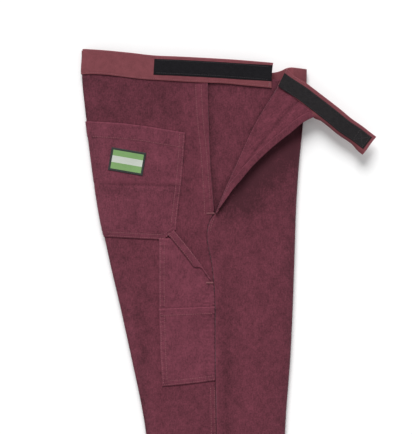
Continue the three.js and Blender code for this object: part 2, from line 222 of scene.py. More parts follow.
def needlecord(name, colour, worn=1.9):
    """Ribs along the leg, streaks and clouds in the pile, a per-point shift of tone that holds painted
    shade and painted light besides real tone, and a paler colour where worn.
    """
    cord = Finish(name, 0.92, 0.16, (0.85, 0.6, 0.68), 0.2)
    across, along = cord.across_and_along()
    sway = cord.noise(across, along, 60, 25) * 0.0009
    rib = ((across + sway) * (2 * np.pi / (RIB_PITCH * MM))).sine() * 0.5 + 0.5
    streak = cord.noise(across, along, 420, 130, 3.0)
    cloud = cord.noise(across, along, 60, 40, 3.0)
    patch = cord.noise(across, along, 150, 120, 2.0)
    fleck = cord.noise(across, along, 440, 380, 2.0)
    lint = cord.noise(across, along, 1500, 900, 2.0)
    tone = streak * 0.7 + cloud * 0.7 + patch * 0.55 + fleck * 0.9 + lint * 0.8 + rib * 0.14
    # The per-point shift: painted shade in valleys, creases and under edges, painted light on ridges, with
    # some real tone.
    tone = (tone - 1.41 + cord.attribute("tone_and_painted_shading")).clamp()
    cloth = cord.mix(tone, shade(colour, 0.47), shade(colour, 1.66))
    worn_off = (cord.attribute("wear") * (streak * 0.9 + 0.35)).clamp()
    cloth = cord.mix(worn_off, cloth, shade(colour, worn))
    return cord.close(cloth, rib * 0.7 + lint * 0.35 + streak * 0.3, 0.0004)


LEG_COLOUR = (0.108, 0.0238, 0.0378)
leg_cord = needlecord("washed_needlecord", LEG_COLOUR)


def join_grids(grids):
    """Vertices, quads and UVs of several grids of points as one list each."""
    points, quads, sheets, wear, tone_and_painted_shading, start = [], [], [], [], [], 0
    for grid in grids:
        rows, columns = grid["x"].shape
        index = start + np.arange(rows * columns).reshape(rows, columns)
        quads.append(np.stack([index[:-1, :-1], index[1:, :-1], index[1:, 1:],
                               index[:-1, 1:]], -1).reshape(-1, 4))
        points.append(np.stack([waist_point[0] + grid["x"], waist_point[1] - grid["depth"],
                                grid["z"]], -1).reshape(-1, 3) * MM)
        u, v = grid.get("u", grid["x"]), grid.get("v", -grid["depth"])
        sheets.append(np.stack([u, v], -1).reshape(-1, 2) * MM)
        wear.append(np.broadcast_to(grid.get("wear", 0.0), (rows, columns)).ravel())
        tone_and_painted_shading.append(np.broadcast_to(grid.get("tone_and_painted_shading", 0.0), (rows, columns)).ravel())
        start += rows * columns
    return tuple(np.concatenate(part) for part in (points, quads, sheets, wear, tone_and_painted_shading))


def make_piece(name, points, quads, sheets, material):
    """A smooth mesh of quads with a UV map that holds one place in metres for each point."""
    mesh = bpy.data.meshes.new(name)
    mesh.from_pydata(points.tolist(), [], quads.tolist())
    layer = mesh.uv_layers.new(name="cloth")
    layer.data.foreach_set("uv", sheets[quads.ravel()].ravel())
    mesh.shade_smooth()
    mesh.materials.append(material)
    piece = bpy.data.objects.new(name, mesh)
    bpy.context.collection.objects.link(piece)
    return piece


def cut_cloth(name, grids, material, wall=CORD, flip=False):
    """A mesh from grids whose rows run down the cloth and columns across it to +X, seen from
    its face. wall thickens it behind that face."""
    points, quads, sheets, wear, tone_and_painted_shading = join_grids(grids)
    if flip:
        quads = quads[:, ::-1]
    piece = make_piece(name, points, quads, sheets, material)
    for key, values in (("wear", wear), ("tone_and_painted_shading", tone_and_painted_shading)):
        piece.data.attributes.new(key, "FLOAT", "POINT").data.foreach_set("value", values)
    if wall:
        solid = piece.modifiers.new("thickness", "SOLIDIFY")
        solid.thickness = wall * MM
        solid.offset = -1.0
    return piece


def mirrored(grid):
    """The same grid with its columns in reverse order, so that it faces the other way."""
    return {key: value[:, ::-1] for key, value in grid.items()}


def face_outwards(mesh, merge=0.0):
    """Turns the faces of a closed form outwards, once points nearer than merge are one."""
    shell = bmesh.new()
    shell.from_mesh(mesh)
    if merge:
        bmesh.ops.remove_doubles(shell, verts=shell.verts, dist=merge)
    bmesh.ops.recalc_face_normals(shell, faces=shell.faces)
    shell.to_mesh(mesh)
    shell.free()


def on_knots(at, knots, values):
    """Smooth curve through the knots: a cubic between each two, its slopes taken from the
    neighbouring knots."""
    knots, values = np.array(knots, float), np.array(values, float)
    slopes = np.gradient(values, knots)
    i = np.clip(np.searchsorted(knots, at) - 1, 0, len(knots) - 2)
    span = knots[i + 1] - knots[i]
    t = np.clip((at - knots[i]) / span, 0, 1)
    level = values[i] * (1 + 2 * t) * (1 - t) ** 2 + values[i + 1] * t * t * (3 - 2 * t)
    return level + span * t * (1 - t) * (slopes[i] * (1 - t) - slopes[i + 1] * t)


def ease(at, start, end):
    """Goes smoothly from 0 at start to 1 at end."""
    t = np.clip((at - start) / (end - start), 0, 1)
    return t * t * (3 - 2 * t)


def bell(offset, width):
    """A bump of height 1 at offset 0: e to the power of minus the square of offset / width."""
    return np.exp(-((offset / width) ** 2))


def ripples(across, depth, seed, size, height, waves=7):
    """Unevenness of the lie: a sum of plane waves with seeded directions and phases and with
    lengths near size."""
    rng = np.random.default_rng(seed)
    total = 0.0
    for turn, share, phase in rng.uniform(0, 1, (waves, 3)):
        turn, length = turn * 2 * np.pi, size * (0.7 + 0.9 * share)
        wave = (across * np.cos(turn) + depth * np.sin(turn)) / length + phase
        total = total + np.cos(2 * np.pi * wave)
    return height * total / np.sqrt(waves)


def pucker(distance, along, seed, reach=5.0, height=0.32):
    """Small gathers beside a row of stitches: short waves that fade away from it."""
    beat = np.sin(2 * np.pi * along / 7.3 + 2.0 * np.sin(along / 23.0 + seed))
    beat = beat + 0.6 * np.sin(2 * np.pi * along / 4.6 + seed)
    return height * beat * bell(distance, reach)


HEM = 1020.0
SLIT = 248.0
SIDE_TOP = np.tan(np.radians(4.3))


def back_edge(depth):
    """Across place of the back crease: a smooth curve through places down the leg."""
    return on_knots(depth, [-15, 27, 74, 138, 227, 317, 407, 474, 582, 800, HEM],
                    [-206.4, -209, -204.8, -196.8, -184, -166.4, -145.6, -131, -109, -94, -84])


def front_edge(depth):
    """Across place of the front crease: a smooth curve through places down the leg."""
    return on_knots(depth, [17, 60, 110, 160, 227, 317, 407, 474, 582, 800, HEM],
                    [151.7, 150, 146, 140.8, 136, 132.8, 129.6, 126.4, 118.5, 114, 111])


def leg_edge(depth, side):
    """Across place of the back crease for side -1 and of the front crease for side 1."""
    return back_edge(depth) if side < 0 else front_edge(depth)


def side_seam(depth):
    """The folded edge of the side seam, a smooth curve that swings back round the foot of the
    opening."""
    return on_knots(depth, [28, 116, 190, 230, 248, 266, 284, 304, 323, 365, 470, 582, HEM],
                    [-7, -4.6, -1.2, 2.2, 2.6, -5, -7.6, -5.4, -1.5, 3.4, 5, 7.2, 12])


ROLL = 2.4  # radius of the fold at the leg's edge
ROLL_ARC = np.pi * ROLL
EDGE_TOP = 11.4  # height of the right leg's face where it starts to roll under
LEG_PUFF = 8.7  # height that the leg's face gains from its edge to its middle
PUFF_REACH = 19  # distance from the edge over which it gains about two thirds of that


def lie(across, depth):
    """Height of the right leg's face: it rises from both folds to a soft plateau, with long
    shallow folds down the leg and a gentle unevenness."""
    edge = np.minimum(across - back_edge(depth), front_edge(depth) - across)
    inside = np.maximum(edge - ROLL, 0)
    puff = 1 - np.exp(-inside / PUFF_REACH)
    below = ease(depth, 250, 380)
    dips = -2.0 * bell(across - 24, 13) * below
    dips = dips - 2.2 * bell(across + 101 - 0.05 * depth, 9) * ease(depth, 330, 430)
    dips = dips + 1.4 * bell(across - 80, 26) * below
    dips = dips + 1.2 * bell(across + 128 - 0.12 * depth, 11) * below
    soft = ripples(across, depth, 3, 95, 0.8) + ripples(across, depth, 8, 34, 0.22)
    return EDGE_TOP + puff * (LEG_PUFF + dips + soft)


def painted_leg_shading_and_tone(across, depth):
    """Painted shade in the long valleys down the leg and at both rolled creases, painted light on a ridge
    of the front panel and along the lower back crease; also darker at the top of the back panel, and a
    little random tone.
    """
    low = ease(depth, 330, 440)
    edge = np.minimum(across - back_edge(depth), front_edge(depth) - across)
    tone_and_painted_shading = -0.16 * bell(across + 112 - 0.04 * (depth - 480), 9) * low
    tone_and_painted_shading = tone_and_painted_shading + 0.14 * bell(across - back_edge(depth) - 12, 9) * low
    tone_and_painted_shading = tone_and_painted_shading - 0.15 * bell(across - 24, 10) * low
    tone_and_painted_shading = tone_and_painted_shading + 0.07 * bell(across - 58, 16) * ease(depth, 260, 380)
    tone_and_painted_shading = tone_and_painted_shading - 0.12 * bell(front_edge(depth) - across, 13)
    tone_and_painted_shading = tone_and_painted_shading - 0.13 * ease(depth, 112, 90) * ease(across, -30, -70)
    return tone_and_painted_shading - 0.06 * bell(edge, 5) + 0.02 * ripples(across, depth, 51, 60, 1.0)


def back_face(across, depth):
    """The back panel, gathered a little beside the two needle rows and the side seam."""
    gap = side_seam(depth) - across
    lip = 1.1 * bell(gap - 3, 6) * ease(depth, 262, 240)
    return lie(across, depth) + lip + pucker(gap - 12, depth, 1.0) + pucker(gap, depth, 2.0, 3.5)


def wrap(travel, depth, face, lift=0.0, side=-1):
    """Across and height of a sheet that comes round the leg's rolled edge and on over its
    face: travel is the way along it from the underside of the roll, lift its height over the
    panel."""
    edge = leg_edge(depth, side)
    angle = np.clip(travel / ROLL, 0, np.pi) - np.pi / 2
    out = (ROLL + lift) * np.cos(angle)
    on_roll = edge - side * ROLL + side * out
    beyond = np.maximum(travel - ROLL_ARC, 0)
    across = np.where(travel < ROLL_ARC, on_roll, edge - side * (ROLL + beyond))
    roll_height = EDGE_TOP - ROLL + (ROLL + lift) * np.sin(angle)
    return across, np.where(travel < ROLL_ARC, roll_height, face(across, depth) + lift)


def travel_to(across, depth, side=-1):
    """The travel at which wrap() reaches a place on the face."""
    edge = leg_edge(depth, side)
    return ROLL_ARC + side * (edge - across) - ROLL


def spread(start, end, step):
    """Evenly spaced values from start to end, about step apart."""
    return np.linspace(start, end, max(2, int(round(abs(end - start) / step)) + 1))


INSEAM = 22.0  # across place of the seam inside the leg
CROTCH = 290.0
SEAT_RISE = 150.0  # how far the crotch seam rises to the crease


def inner_layer(side, plateau, z_at_edge):
    """The hidden half of a leg: below the crotch seam, a quarter sine wave, from the crease to
    the inseam. Its height eases from z_at_edge to the plateau."""
    share = spread(0, 1, 0.04)[None, :]
    start_depth = CROTCH - SEAT_RISE
    crotch = start_depth + (CROTCH - start_depth) * np.sin(share * np.pi / 2)
    rows = spread(0, 1, 0.012)[:, None]
    depth = crotch + (HEM - crotch) * rows
    edge = leg_edge(depth, side) - side * ROLL
    across = edge + (INSEAM + side * 0.2 - edge) * share
    puff = 1 - np.exp(-np.abs(edge - across) / PUFF_REACH)
    return {"x": across, "depth": depth, "z": z_at_edge + (plateau - z_at_edge) * puff}


def back_top(across):
    """Depth of the back panel's top edge inside the waistband: a straight slope."""
    return 32 + SIDE_TOP * across


# Shares of the way from a panel's top edge to its hem, closer where the face is seen.
share_rows = (np.concatenate([spread(0, 600, 2.6), spread(606, HEM, 6)]) / HEM)[:, None]
BACK_TRAVEL = 200  # columns run to this number, which stands for the side seam
back_columns = np.concatenate([spread(ROLL_ARC, 0, 1.2)[::-1], spread(ROLL_ARC, BACK_TRAVEL, 2.4)[1:]])
guess = -208 + back_columns[None, :] / BACK_TRAVEL * 206
depth = back_top(guess) + (HEM - back_top(guess)) * share_rows
seam_travel = travel_to(side_seam(depth), depth)
share = (back_columns - ROLL_ARC) / (BACK_TRAVEL - ROLL_ARC)
travel = np.where(back_columns < ROLL_ARC, back_columns, ROLL_ARC + share * (seam_travel - ROLL_ARC))
across, height = wrap(travel, depth, back_face)
seam_gap = side_seam(depth) - across
wear = 0.35 * bell(seam_gap, 1.5) * ease(depth, 256, 246)
wear = wear + 0.24 * bell(seam_gap - 12, 9) * ease(depth, 262, 246)
# Painted shadow along the front panel's lapped edge below the slit, besides the painted leg shading.
tone_and_painted_shading = painted_leg_shading_and_tone(across, depth) - 0.4 * bell(seam_gap, 1.7) * ease(depth, 250, 258)
outer = {"x": across, "depth": depth, "z": height, "wear": wear, "tone_and_painted_shading": tone_and_painted_shading}
inner = mirrored(inner_layer(-1, 10.4, EDGE_TOP - 2 * ROLL))
right_back = cut_cloth("right_back_leg", [outer, inner], leg_cord)
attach(right_back, "trousers")
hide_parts("right_back_panel")


# ---- Right front leg ----------------------------------------------------------------------
# The front panel in the same needlecord. Its side edge is turned under and sewn over the back
# panel; above the slit it carries on into the folded corner. It wraps round the front crease.
axis = fold_joint["axis"]
FOLD_UP = np.array([-axis[0], -axis[1]]) / np.hypot(axis[0], axis[1])
FOLD_OUT = np.array([FOLD_UP[1], -FOLD_UP[0]])
FOLD_FOOT = np.array([FOLD_TOP[0] - (SLIT + FOLD_TOP[1]) * FOLD_UP[0] / FOLD_UP[1], -SLIT])
LAP = 1.5  # how far the front panel's face stands over the back panel's
FOLD_LOW = 20.8  # height of the front panel's face along the fold


def to_fold(across, depth):
    """Distance up the fold from its foot, and out from it towards the open corner."""
    x, y = across - FOLD_FOOT[0], -depth - FOLD_FOOT[1]
    return x * FOLD_UP[0] + y * FOLD_UP[1], x * FOLD_OUT[0] + y * FOLD_OUT[1]


def from_fold(up, out):
    """The place across and below the waist point for a place on the fold's own axes."""
    return (FOLD_FOOT[0] + up * FOLD_UP[0] + out * FOLD_OUT[0],
            -(FOLD_FOOT[1] + up * FOLD_UP[1] + out * FOLD_OUT[1]))


def fold_line(up):
    """How far the soft fold wanders from the straight line on which it turns: a smooth curve
    through places up the fold."""
    return on_knots(up, [-4, 36, 89, 152, 180, 210, 240], [-3, -3.6, -2.2, 0.2, 3.8, 8.8, 13.8])


fold_steps = np.linspace(-10, 245, 400)
fold_across, fold_depth = from_fold(fold_steps, fold_line(fold_steps))


def front_start(depth):
    """The front panel's side edge: the fold above the slit, the side seam below it."""
    at_fold = np.interp(-depth, -fold_depth, fold_across)
    return side_seam(depth) + (at_fold - side_seam(depth)) * ease(depth, 256, 246)


OPEN_EDGE_UP = [-2.9, 19.1, 46.4, 61.1, 85.6, 115, 136, 160.9, 186.4, 197, 205]
OPEN_EDGE_OUT = [-4.5, 0.9, 7.2, 12.2, 19.7, 31.8, 42, 56, 69.8, 78.4, 87]


def front_face(across, depth):
    """The front panel lies over the back one, level along the fold, with a valley beside the
    folded corner's free edge and small gathers at the side seam."""
    up, out = to_fold(across, depth)
    z = lie(across, depth) + LAP
    free = np.interp(up, OPEN_EDGE_UP, OPEN_EDGE_OUT)
    reach = ease(up, 0, 60)
    z = z - 5.6 * reach * bell(out - free - 8, 20)
    gap = across - side_seam(depth)
    z = z + pucker(gap, depth, 4.0, 4.0) * ease(depth, 250, 262)
    near = bell(out - fold_line(up), 16) * ease(depth, 262, 246)
    return z + (FOLD_LOW - z) * near


def front_top(across):
    """Depth of the front panel's top edge inside the waistband: a straight slope."""
    return 35 + 0.089 * across


FRONT_TRAVEL = 150  # columns run to this number, which stands for the panel's side edge
front_columns = np.concatenate([spread(0, ROLL_ARC, 1.2), spread(ROLL_ARC, FRONT_TRAVEL, 2.0)[1:]])
depth = front_top(130) + (HEM - front_top(130)) * share_rows
start_travel = travel_to(front_start(depth), depth, 1)
share = np.maximum(front_columns - ROLL_ARC, 0) / (FRONT_TRAVEL - ROLL_ARC)
travel = np.minimum(front_columns, ROLL_ARC) + share * (start_travel - ROLL_ARC)
across, height = wrap(travel, depth, front_face, 0.0, 1)
gap = across - front_start(depth)
below_slit = ease(depth, 246, 262)
height = height - 0.9 * bell(gap, 1.0) * below_slit
wear = 0.3 * bell(gap - 1.5, 1.3) * below_slit
edge_gap = front_edge(depth) - across
wear = wear + 0.12 * bell(edge_gap, 5)
up, out = to_fold(across, depth)
# Painted shadow of the folded corner's free edge on the front panel, besides the painted leg shading.
shaded = bell(out - np.interp(up, OPEN_EDGE_UP, OPEN_EDGE_OUT) - 16, 38)
tone_and_painted_shading = painted_leg_shading_and_tone(across, depth) - 0.62 * shaded * ease(up, -30, 45)
outer = {"x": across, "depth": depth + 0 * across, "z": height, "wear": wear, "tone_and_painted_shading": tone_and_painted_shading}
inner = inner_layer(1, 10.4, EDGE_TOP - 2 * ROLL)
right_front = cut_cloth("right_front_leg", [mirrored(outer), inner], leg_cord)
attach(right_front, "trousers")
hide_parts("right_front_panel")


# ---- Folded corner ------------------------------------------------------------------------
# The front panel's upper side corner, open and turned over: the same cloth rolls round the
# soft fold and shows its inner side. Its long free edge is faced and curls up a little.
FOLD_ROLL = 1.6


def open_edge(share):
    """The free edge, from the slit's foot at 0 to the waistband at 1, on the fold's axes."""
    knots = [0, 0.085, 0.19, 0.25, 0.35, 0.48, 0.58, 0.71, 0.85, 0.93, 1]
    return on_knots(share, knots, OPEN_EDGE_UP), on_knots(share, knots, OPEN_EDGE_OUT)


def corner_height(share_out, rise):
    """Height of the folded corner's face: level by the fold, a soft crease down its middle,
    a low wave along it, and a curl up to the free edge."""
    crease = -0.9 * bell(share_out - 0.5, 0.1) * ease(rise, 0.15, 0.5)
    wave = 0.35 * np.sin(rise * 17) * ease(share_out, 0.3, 1)
    curl = 1.2 * ease(share_out, 0.1, 0.95)
    return FOLD_LOW + 2 * FOLD_ROLL + 0.9 * ease(share_out, 0, 0.3) + crease + wave + curl


def fold_rise(rise):
    """Distance up the fold for a share of the folded corner's height."""
    return -3 + 231 * rise


def corner_place(rise, share_out):
    """Up and out on the fold's axes: straight lines from the fold to the free edge."""
    up_fold = fold_rise(rise)
    edge_up, edge_out = open_edge(rise)
    start = fold_line(up_fold)
    return up_fold + (edge_up - up_fold) * share_out, start + (edge_out - start) * share_out


rise = spread(1, 0, 0.01)[:, None]
turn = spread(0, np.pi, np.pi / 9)[None, :]
share_out = spread(0, 1, 0.022)[None, 1:]
roll_up = fold_rise(rise) + 0 * turn
roll_out = fold_line(roll_up) - FOLD_ROLL * np.sin(turn)
roll_z = FOLD_LOW + FOLD_ROLL * (1 - np.cos(turn)) + 0 * rise
flat_up, flat_out = corner_place(rise, share_out)
flat_z = corner_height(share_out, rise)
up = np.hstack([roll_up, flat_up])
out = np.hstack([roll_out, flat_out])
height = np.hstack([roll_z, flat_z])
start = fold_line(fold_rise(rise))
unrolled = np.hstack([start * (1 - 2 * turn / np.pi), -flat_out])
flat_across, flat_depth = from_fold(up, unrolled)
across, depth = from_fold(up, out)
wear = np.hstack([0 * roll_up, 0.55 * ease(share_out, 0.965, 1.0) + 0 * rise])
# Painted shade along the corner's middle crease and painted light on its two ridges, over a slightly paler
# tone.
crease = bell(share_out - 0.5, 0.055) * ease(rise, 0.1, 0.4)
ridge = bell(share_out - 0.36, 0.09) + 0.6 * bell(share_out - 0.66, 0.1)
tone_and_painted_shading = np.hstack([0 * roll_up + 0.05, 0.05 - 0.2 * crease + 0.1 * ridge])
corner_grid = {"x": across, "depth": depth, "z": height, "u": flat_across,
               "v": -flat_depth, "wear": wear, "tone_and_painted_shading": tone_and_painted_shading}
corner = cut_cloth("folded_corner", [corner_grid], leg_cord)
TURN_FROM = spot(*FOLD_TOP * (1, -1), 22.6)
TURN_TO = spot(*FOLD_TOP * (1, -1), 23.2)
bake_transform(corner)
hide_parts("side_flap")

# The facing: a narrow turned strip of the shell cloth sewn along the free edge.
strip = spread(0, 1, 0.125)[None, :]
rise_strip = spread(0.97, 0.04, 0.01)[:, None]
edge_up, edge_out = open_edge(rise_strip)
width = np.clip(edge_out - fold_line(edge_up), 2, 13.5) - 0.8
inner_share = 1 - strip * width / np.maximum(edge_out - fold_line(edge_up), 1)
up, out = corner_place(rise_strip, inner_share)
height = corner_height(inner_share, rise_strip) + CORD + 0.7 - 0.2 * (strip > 0.99)
across, depth = from_fold(up, out)
wear = 0.5 * (strip < 0.05) + 0.28 * (strip > 0.95) + 0 * rise_strip
facing_grid = {"x": across, "depth": depth, "z": height, "wear": wear}
facing = cut_cloth("corner_facing", [mirrored(facing_grid)], leg_cord, 0.8)
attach(facing, "side_flap")
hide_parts("flap_facing")


# ---- Underlap -----------------------------------------------------------------------------
# A tongue of needlecord behind the opening, sewn to the back panel's edge; the folded corner
# covers it when the waist is done up. Its faced edge is a thin strip under the back panel.
rows = spread(34, 262, 3)[:, None]
columns = spread(0, 1, 0.025)[None, :]
left = side_seam(rows) - 4
right = np.interp(-rows, -fold_depth, fold_across) + 5 * ease(rows, 262, 240)
across = left + (right - left) * columns
sag = -1.5 * np.sin(np.pi * np.clip(columns, 0, 1)) * ease(rows, 60, 120)
lip = -1.0 * bell(across - left, 12)
height = lie(across, rows + 0 * columns) + sag + lip - 1.1 + 0.5 * ripples(across, rows, 21, 40, 0.5)
# Painted shade beside the back panel's edge, under the soft fold and below the waistband.
shadowed = bell(across - left - 6, 7) + 0.9 * bell(right - across, 13)
shadowed = shadowed + 0.5 * bell(rows - 40, 14)
tongue = {"x": across, "depth": rows + 0 * columns, "z": height, "tone_and_painted_shading": -0.24 * shadowed}
underlap = cut_cloth("opening_underlap", [tongue], leg_cord)
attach(underlap, "trousers")
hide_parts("underlap")


def twill(name, colour, scale=1.0):
    """Fine diagonal lines with cloudy fading, for bands and linings."""
    cloth = Finish(name, 0.85, 0.08, (0.9, 0.7, 0.7), 0.25)
    across, along = cloth.across_and_along()
    slant = ((across + along * 0.6) * (2 * np.pi / (0.0011 * scale))).sine() * 0.5 + 0.5
    cross = (across * (2 * np.pi / 0.0007)).sine() * 0.5 + 0.5
    cloud = cloth.noise(across, along, 90, 90, 3.0)
    fleck = cloth.noise(across, along, 1300, 1700, 2.0)
    speck = cloth.noise(across, along, 420, 420, 2.0)
    tone = (cloud * 0.7 + fleck * 0.5 + speck * 0.6 + slant * 0.14 - 0.5).clamp()
    dyed = cloth.mix(tone, shade(colour, 0.62), shade(colour, 1.38))
    worn_off = (cloth.attribute("wear") * (fleck * 0.8 + 0.5)).clamp()
    dyed = cloth.mix(worn_off, dyed, shade(colour, 1.75))
    return cloth.close(dyed, slant * 0.5 + cross * 0.2 + fleck * 0.3, 0.00022)


lining_twill = twill("lining_twill", (0.08, 0.022, 0.03))
rows = spread(42, 272, 3)[:, None]
columns = spread(-12.5, 12.5, 2.5)[None, :]
across = side_seam(rows) + columns * (1 - 0.6 * (columns > 0) * ease(rows, 200, 250))
strip_z = lie(across, rows + 0 * across) - 1.35
strip_grid = {"x": across, "depth": rows + 0 * across, "z": strip_z - 3.2 * (columns > -4.9)}
placket = cut_cloth("opening_facing", [strip_grid], lining_twill, 0.8)
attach(placket, "trousers")
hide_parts("placket_facing")


# ---- Waistband ----------------------------------------------------------------------------
# Flat bands of burgundy cotton twill, doubled over a stiffening cloth. One runs from the back
# crease to its finished end over the opening; a short one at the front rolls over the fold
# and carries on as the folded corner's band and the free tab.
BAND_HALF = 1.15
band_twill = twill("band_twill", (0.172, 0.044, 0.054))
around = np.linspace(0, 2 * np.pi, 41)[:, None]
BAND_SHARE = 0.5 - 0.5 * np.sign(np.cos(around)) * np.abs(np.cos(around)) ** 0.55
BAND_LIFT = BAND_HALF * np.sign(np.sin(around)) * np.abs(np.sin(around)) ** 0.28
BAND_LIFT = BAND_LIFT - 0.28 * np.sin(around) * bell(BAND_SHARE - 0.07, 0.03)
BAND_LIFT = BAND_LIFT - 0.28 * np.sin(around) * bell(BAND_SHARE - 0.93, 0.03)


def close_form(name, grid, material, flip=False):
    """A closed form from a grid whose rows run round a section and meet; both ends are drawn
    together and the doubled points are merged."""
    piece = cut_cloth(name, [grid], material, 0, flip)
    face_outwards(piece.data, 0.00002)
    return piece


def band_top(across):
    """Depth of the back waistband's upper edge: a smooth curve through places across."""
    return on_knots(across, [-215, -168, -140, -93, -59, -22, 14, 56, 98],
                    [-15.8, -12, -9.3, -4.2, -2.7, -0.9, 1.1, 4.1, 7.6])


def band_foot(across):
    """Depth of the back waistband's lower edge: a smooth curve through places across."""
    return on_knots(across, [-215, -192, -168, -141, -114, -75, -35, 26, 51, 98],
                    [25.6, 25.4, 27, 30.4, 33.6, 36, 38.4, 41.2, 43.6, 48])


def right_band_face(across, depth):
    """The height on which the back waistband lies: just over the leg's face."""
    return lie(across, depth) + 0.25


def end_pinch(along, start, end, length=1.4):
    """Thins the section to nothing at both ends, as a folded and sewn end is thin."""
    near = np.minimum(np.abs(along - start), np.abs(end - along))
    return np.sqrt(np.clip(near / length, 0, 1))


BACK_BAND_LENGTH = 311.5
along = np.concatenate([spread(0, ROLL_ARC, 0.9), spread(ROLL_ARC, BACK_BAND_LENGTH, 3.0)[1:-1],
                        [310.3, 311.0, 311.3, BACK_BAND_LENGTH]])[None, :]
crude = np.where(along < ROLL_ARC, -208.0, -208.0 + along - ROLL_ARC)
depth = band_top(crude) + BAND_SHARE * (band_foot(crude) - band_top(crude))
lift = 0.9 + BAND_LIFT * end_pinch(along, 0, BACK_BAND_LENGTH)
across, height = wrap(along + 0 * depth, depth, right_band_face, lift)
lean = 0.075 * (depth - band_top(crude))
across = across - lean * ease(along, 200, 311)
border_wear = 0.5 * bell(BAND_SHARE, 0.02) + 0.5 * bell(BAND_SHARE - 1, 0.02)
wear = border_wear + 0.35 * bell(310.6 - along, 1.2)
band_grid = {"x": across, "depth": depth + 0 * across, "z": height, "wear": wear,
             "u": along + 0 * across, "v": -depth + 0 * across}
back_band = close_form("back_band", band_grid, band_twill)
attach(back_band, "trousers")
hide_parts("back_waistband", "back_interfacing")


BAND_LOW = 21.2  # height of the front band's middle where it meets the fold
BAND_ROLL = 1.9
BAND_HEIGHT = 40
STUB_SLOPE = 0.0892


def stub_top(across):
    """Depth of the front band's upper edge, which slopes down to the front."""
    return 3.5 + STUB_SLOPE * across


def stub_face(across, depth):
    """The height on which the front band lies: the front panel's, level near the fold."""
    up, out = to_fold(across, depth)
    near = bell(out - fold_line(up), 20)
    z = front_face(across, depth) - 0.3
    return z + (BAND_LOW - z) * near


along = np.concatenate([spread(0, ROLL_ARC, 0.9), spread(ROLL_ARC, 44, 2.5)[1:-1],
                        spread(44, 76, 0.7)])[None, :]
crude = np.where(along < ROLL_ARC, 151.8, 151.8 + ROLL_ARC - along)
past_fold = ease(along, 26, 50)
depth = stub_top(crude) + 4.5 * past_fold
depth = depth + (BAND_HEIGHT - 4.5 * past_fold - 13.5 * ease(along, 44, 54)) * BAND_SHARE
lift = BAND_LIFT * 0.92 * end_pinch(along, 0, 76, 0.8)
across, height = wrap(along + 0 * depth, depth, stub_face, lift, 1)
across = across - STUB_SLOPE * BAND_HEIGHT * (BAND_SHARE - 0.5) * ease(along, 8, 25)
up, out = to_fold(across, depth)
line = fold_line(up)
turn = np.clip((line - out) / BAND_ROLL, 0, np.pi)
past = np.maximum(line - out - np.pi * BAND_ROLL, 0)
rolled_out = line - (BAND_ROLL - lift) * np.sin(turn) + past
rolled_z = BAND_LOW + BAND_ROLL - (BAND_ROLL - lift) * np.cos(turn)
on_fold = out < line
out = np.where(on_fold, rolled_out, out)
height = np.where(on_fold, rolled_z, height)
up = up + 1.2 * ease(turn, 0, np.pi)
unrolled_u = along + 2 * line * turn / np.pi
unrolled_v = -BAND_HEIGHT * BAND_SHARE + 0 * across
across, depth = from_fold(up, out)
wear = border_wear + 0.3 * bell(along - 29, 0.9)
stub_grid = {"x": across, "depth": depth, "z": height, "wear": wear + 0 * across,
             "u": unrolled_u, "v": unrolled_v}
front_band = close_form("front_band", stub_grid, band_twill)
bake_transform(front_band)
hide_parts("front_waistband", "front_interfacing")

tab_joint = next(j for j in frame["joints"] if j["name"] == "waist_tab_bend")
BAND_ALONG = np.array([tab_joint["axis"][1], -tab_joint["axis"][0]])
BAND_ALONG = BAND_ALONG / np.hypot(*BAND_ALONG)
BAND_DOWN = np.array([BAND_ALONG[1], -BAND_ALONG[0]])
TAB_START, TAB_END = 88.0, 187.0


def on_band(along, down):
    """A place along the folded corner's band from the fold and down from its centre line."""
    return (FOLD_TOP[0] + along * BAND_ALONG[0] + down * BAND_DOWN[0],
            -(FOLD_TOP[1] + along * BAND_ALONG[1] + down * BAND_DOWN[1]))


def band_sway(along):
    """The free tab is a little wavy in its length."""
    free = ease(along, TAB_START, 125)
    return free * (0.8 * np.sin((along - 104) / 15) + 0.25 * np.sin((along - 90) / 6.1))


def band_height(along):
    """Height of the band's middle: level on the corner, then waving in the air."""
    free = ease(along, TAB_START - 6, 120)
    return 25.05 + 0.6 * ease(along, 20, 80) + free * 1.2 * np.sin((along - 84) / 17)


def curled(along, down, lift):
    """Down and height on the band: the free tab's lower border curls under in an arc."""
    tight = (ease(along, 82, 104) - 0.72 * ease(along, 160, 184)) / 4.9 + 1e-6
    angle = tight * np.maximum(down - 8, 0)
    drop = (1 - np.cos(angle)) / tight
    bent = np.where(down < 8, down, 8 + np.sin(angle) / tight) + lift * np.sin(angle)
    return bent + band_sway(along), band_height(along) - drop + lift * np.cos(angle)


along = np.concatenate([spread(12, 20, 2), spread(20, 184, 2)[1:], [185, 186, 186.6, TAB_END]])
along = along[None, :]
head = -15.2 - 4.8 * ease(along, 12, 50) + 0.8 * ease(along, 120, 165)
foot = 10.2 + 7.0 * ease(along, 79, 88)
down = head + BAND_SHARE * (foot - head)
lift = BAND_LIFT * end_pinch(along, 12, TAB_END) * (1 - 0.3 * ease(along, 181, TAB_END))
down, height = curled(along, down, lift)
across, depth = on_band(along + 0.35 * np.sin(down / 6) * ease(along, 180, TAB_END), down)
wear = 0.55 * bell(BAND_SHARE, 0.025) + 0.5 * bell(BAND_SHARE - 1, 0.02)
wear = wear + 0.5 * bell(186.5 - along, 1.5)
tab_grid = {"x": across, "depth": depth, "z": height, "wear": wear,
            "u": along + 0 * across, "v": -BAND_HEIGHT * BAND_SHARE + 0 * across}
tab_band = close_form("corner_and_tab_band", tab_grid, band_twill, flip=True)
BEND_FROM = spot(*on_band(75, 0), 23.3)
BEND_TO = spot(*on_band(100, 0), 23.3)
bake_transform(tab_band)
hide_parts("flap_waistband", "flap_interfacing", "tab_waistband", "tab_interfacing")

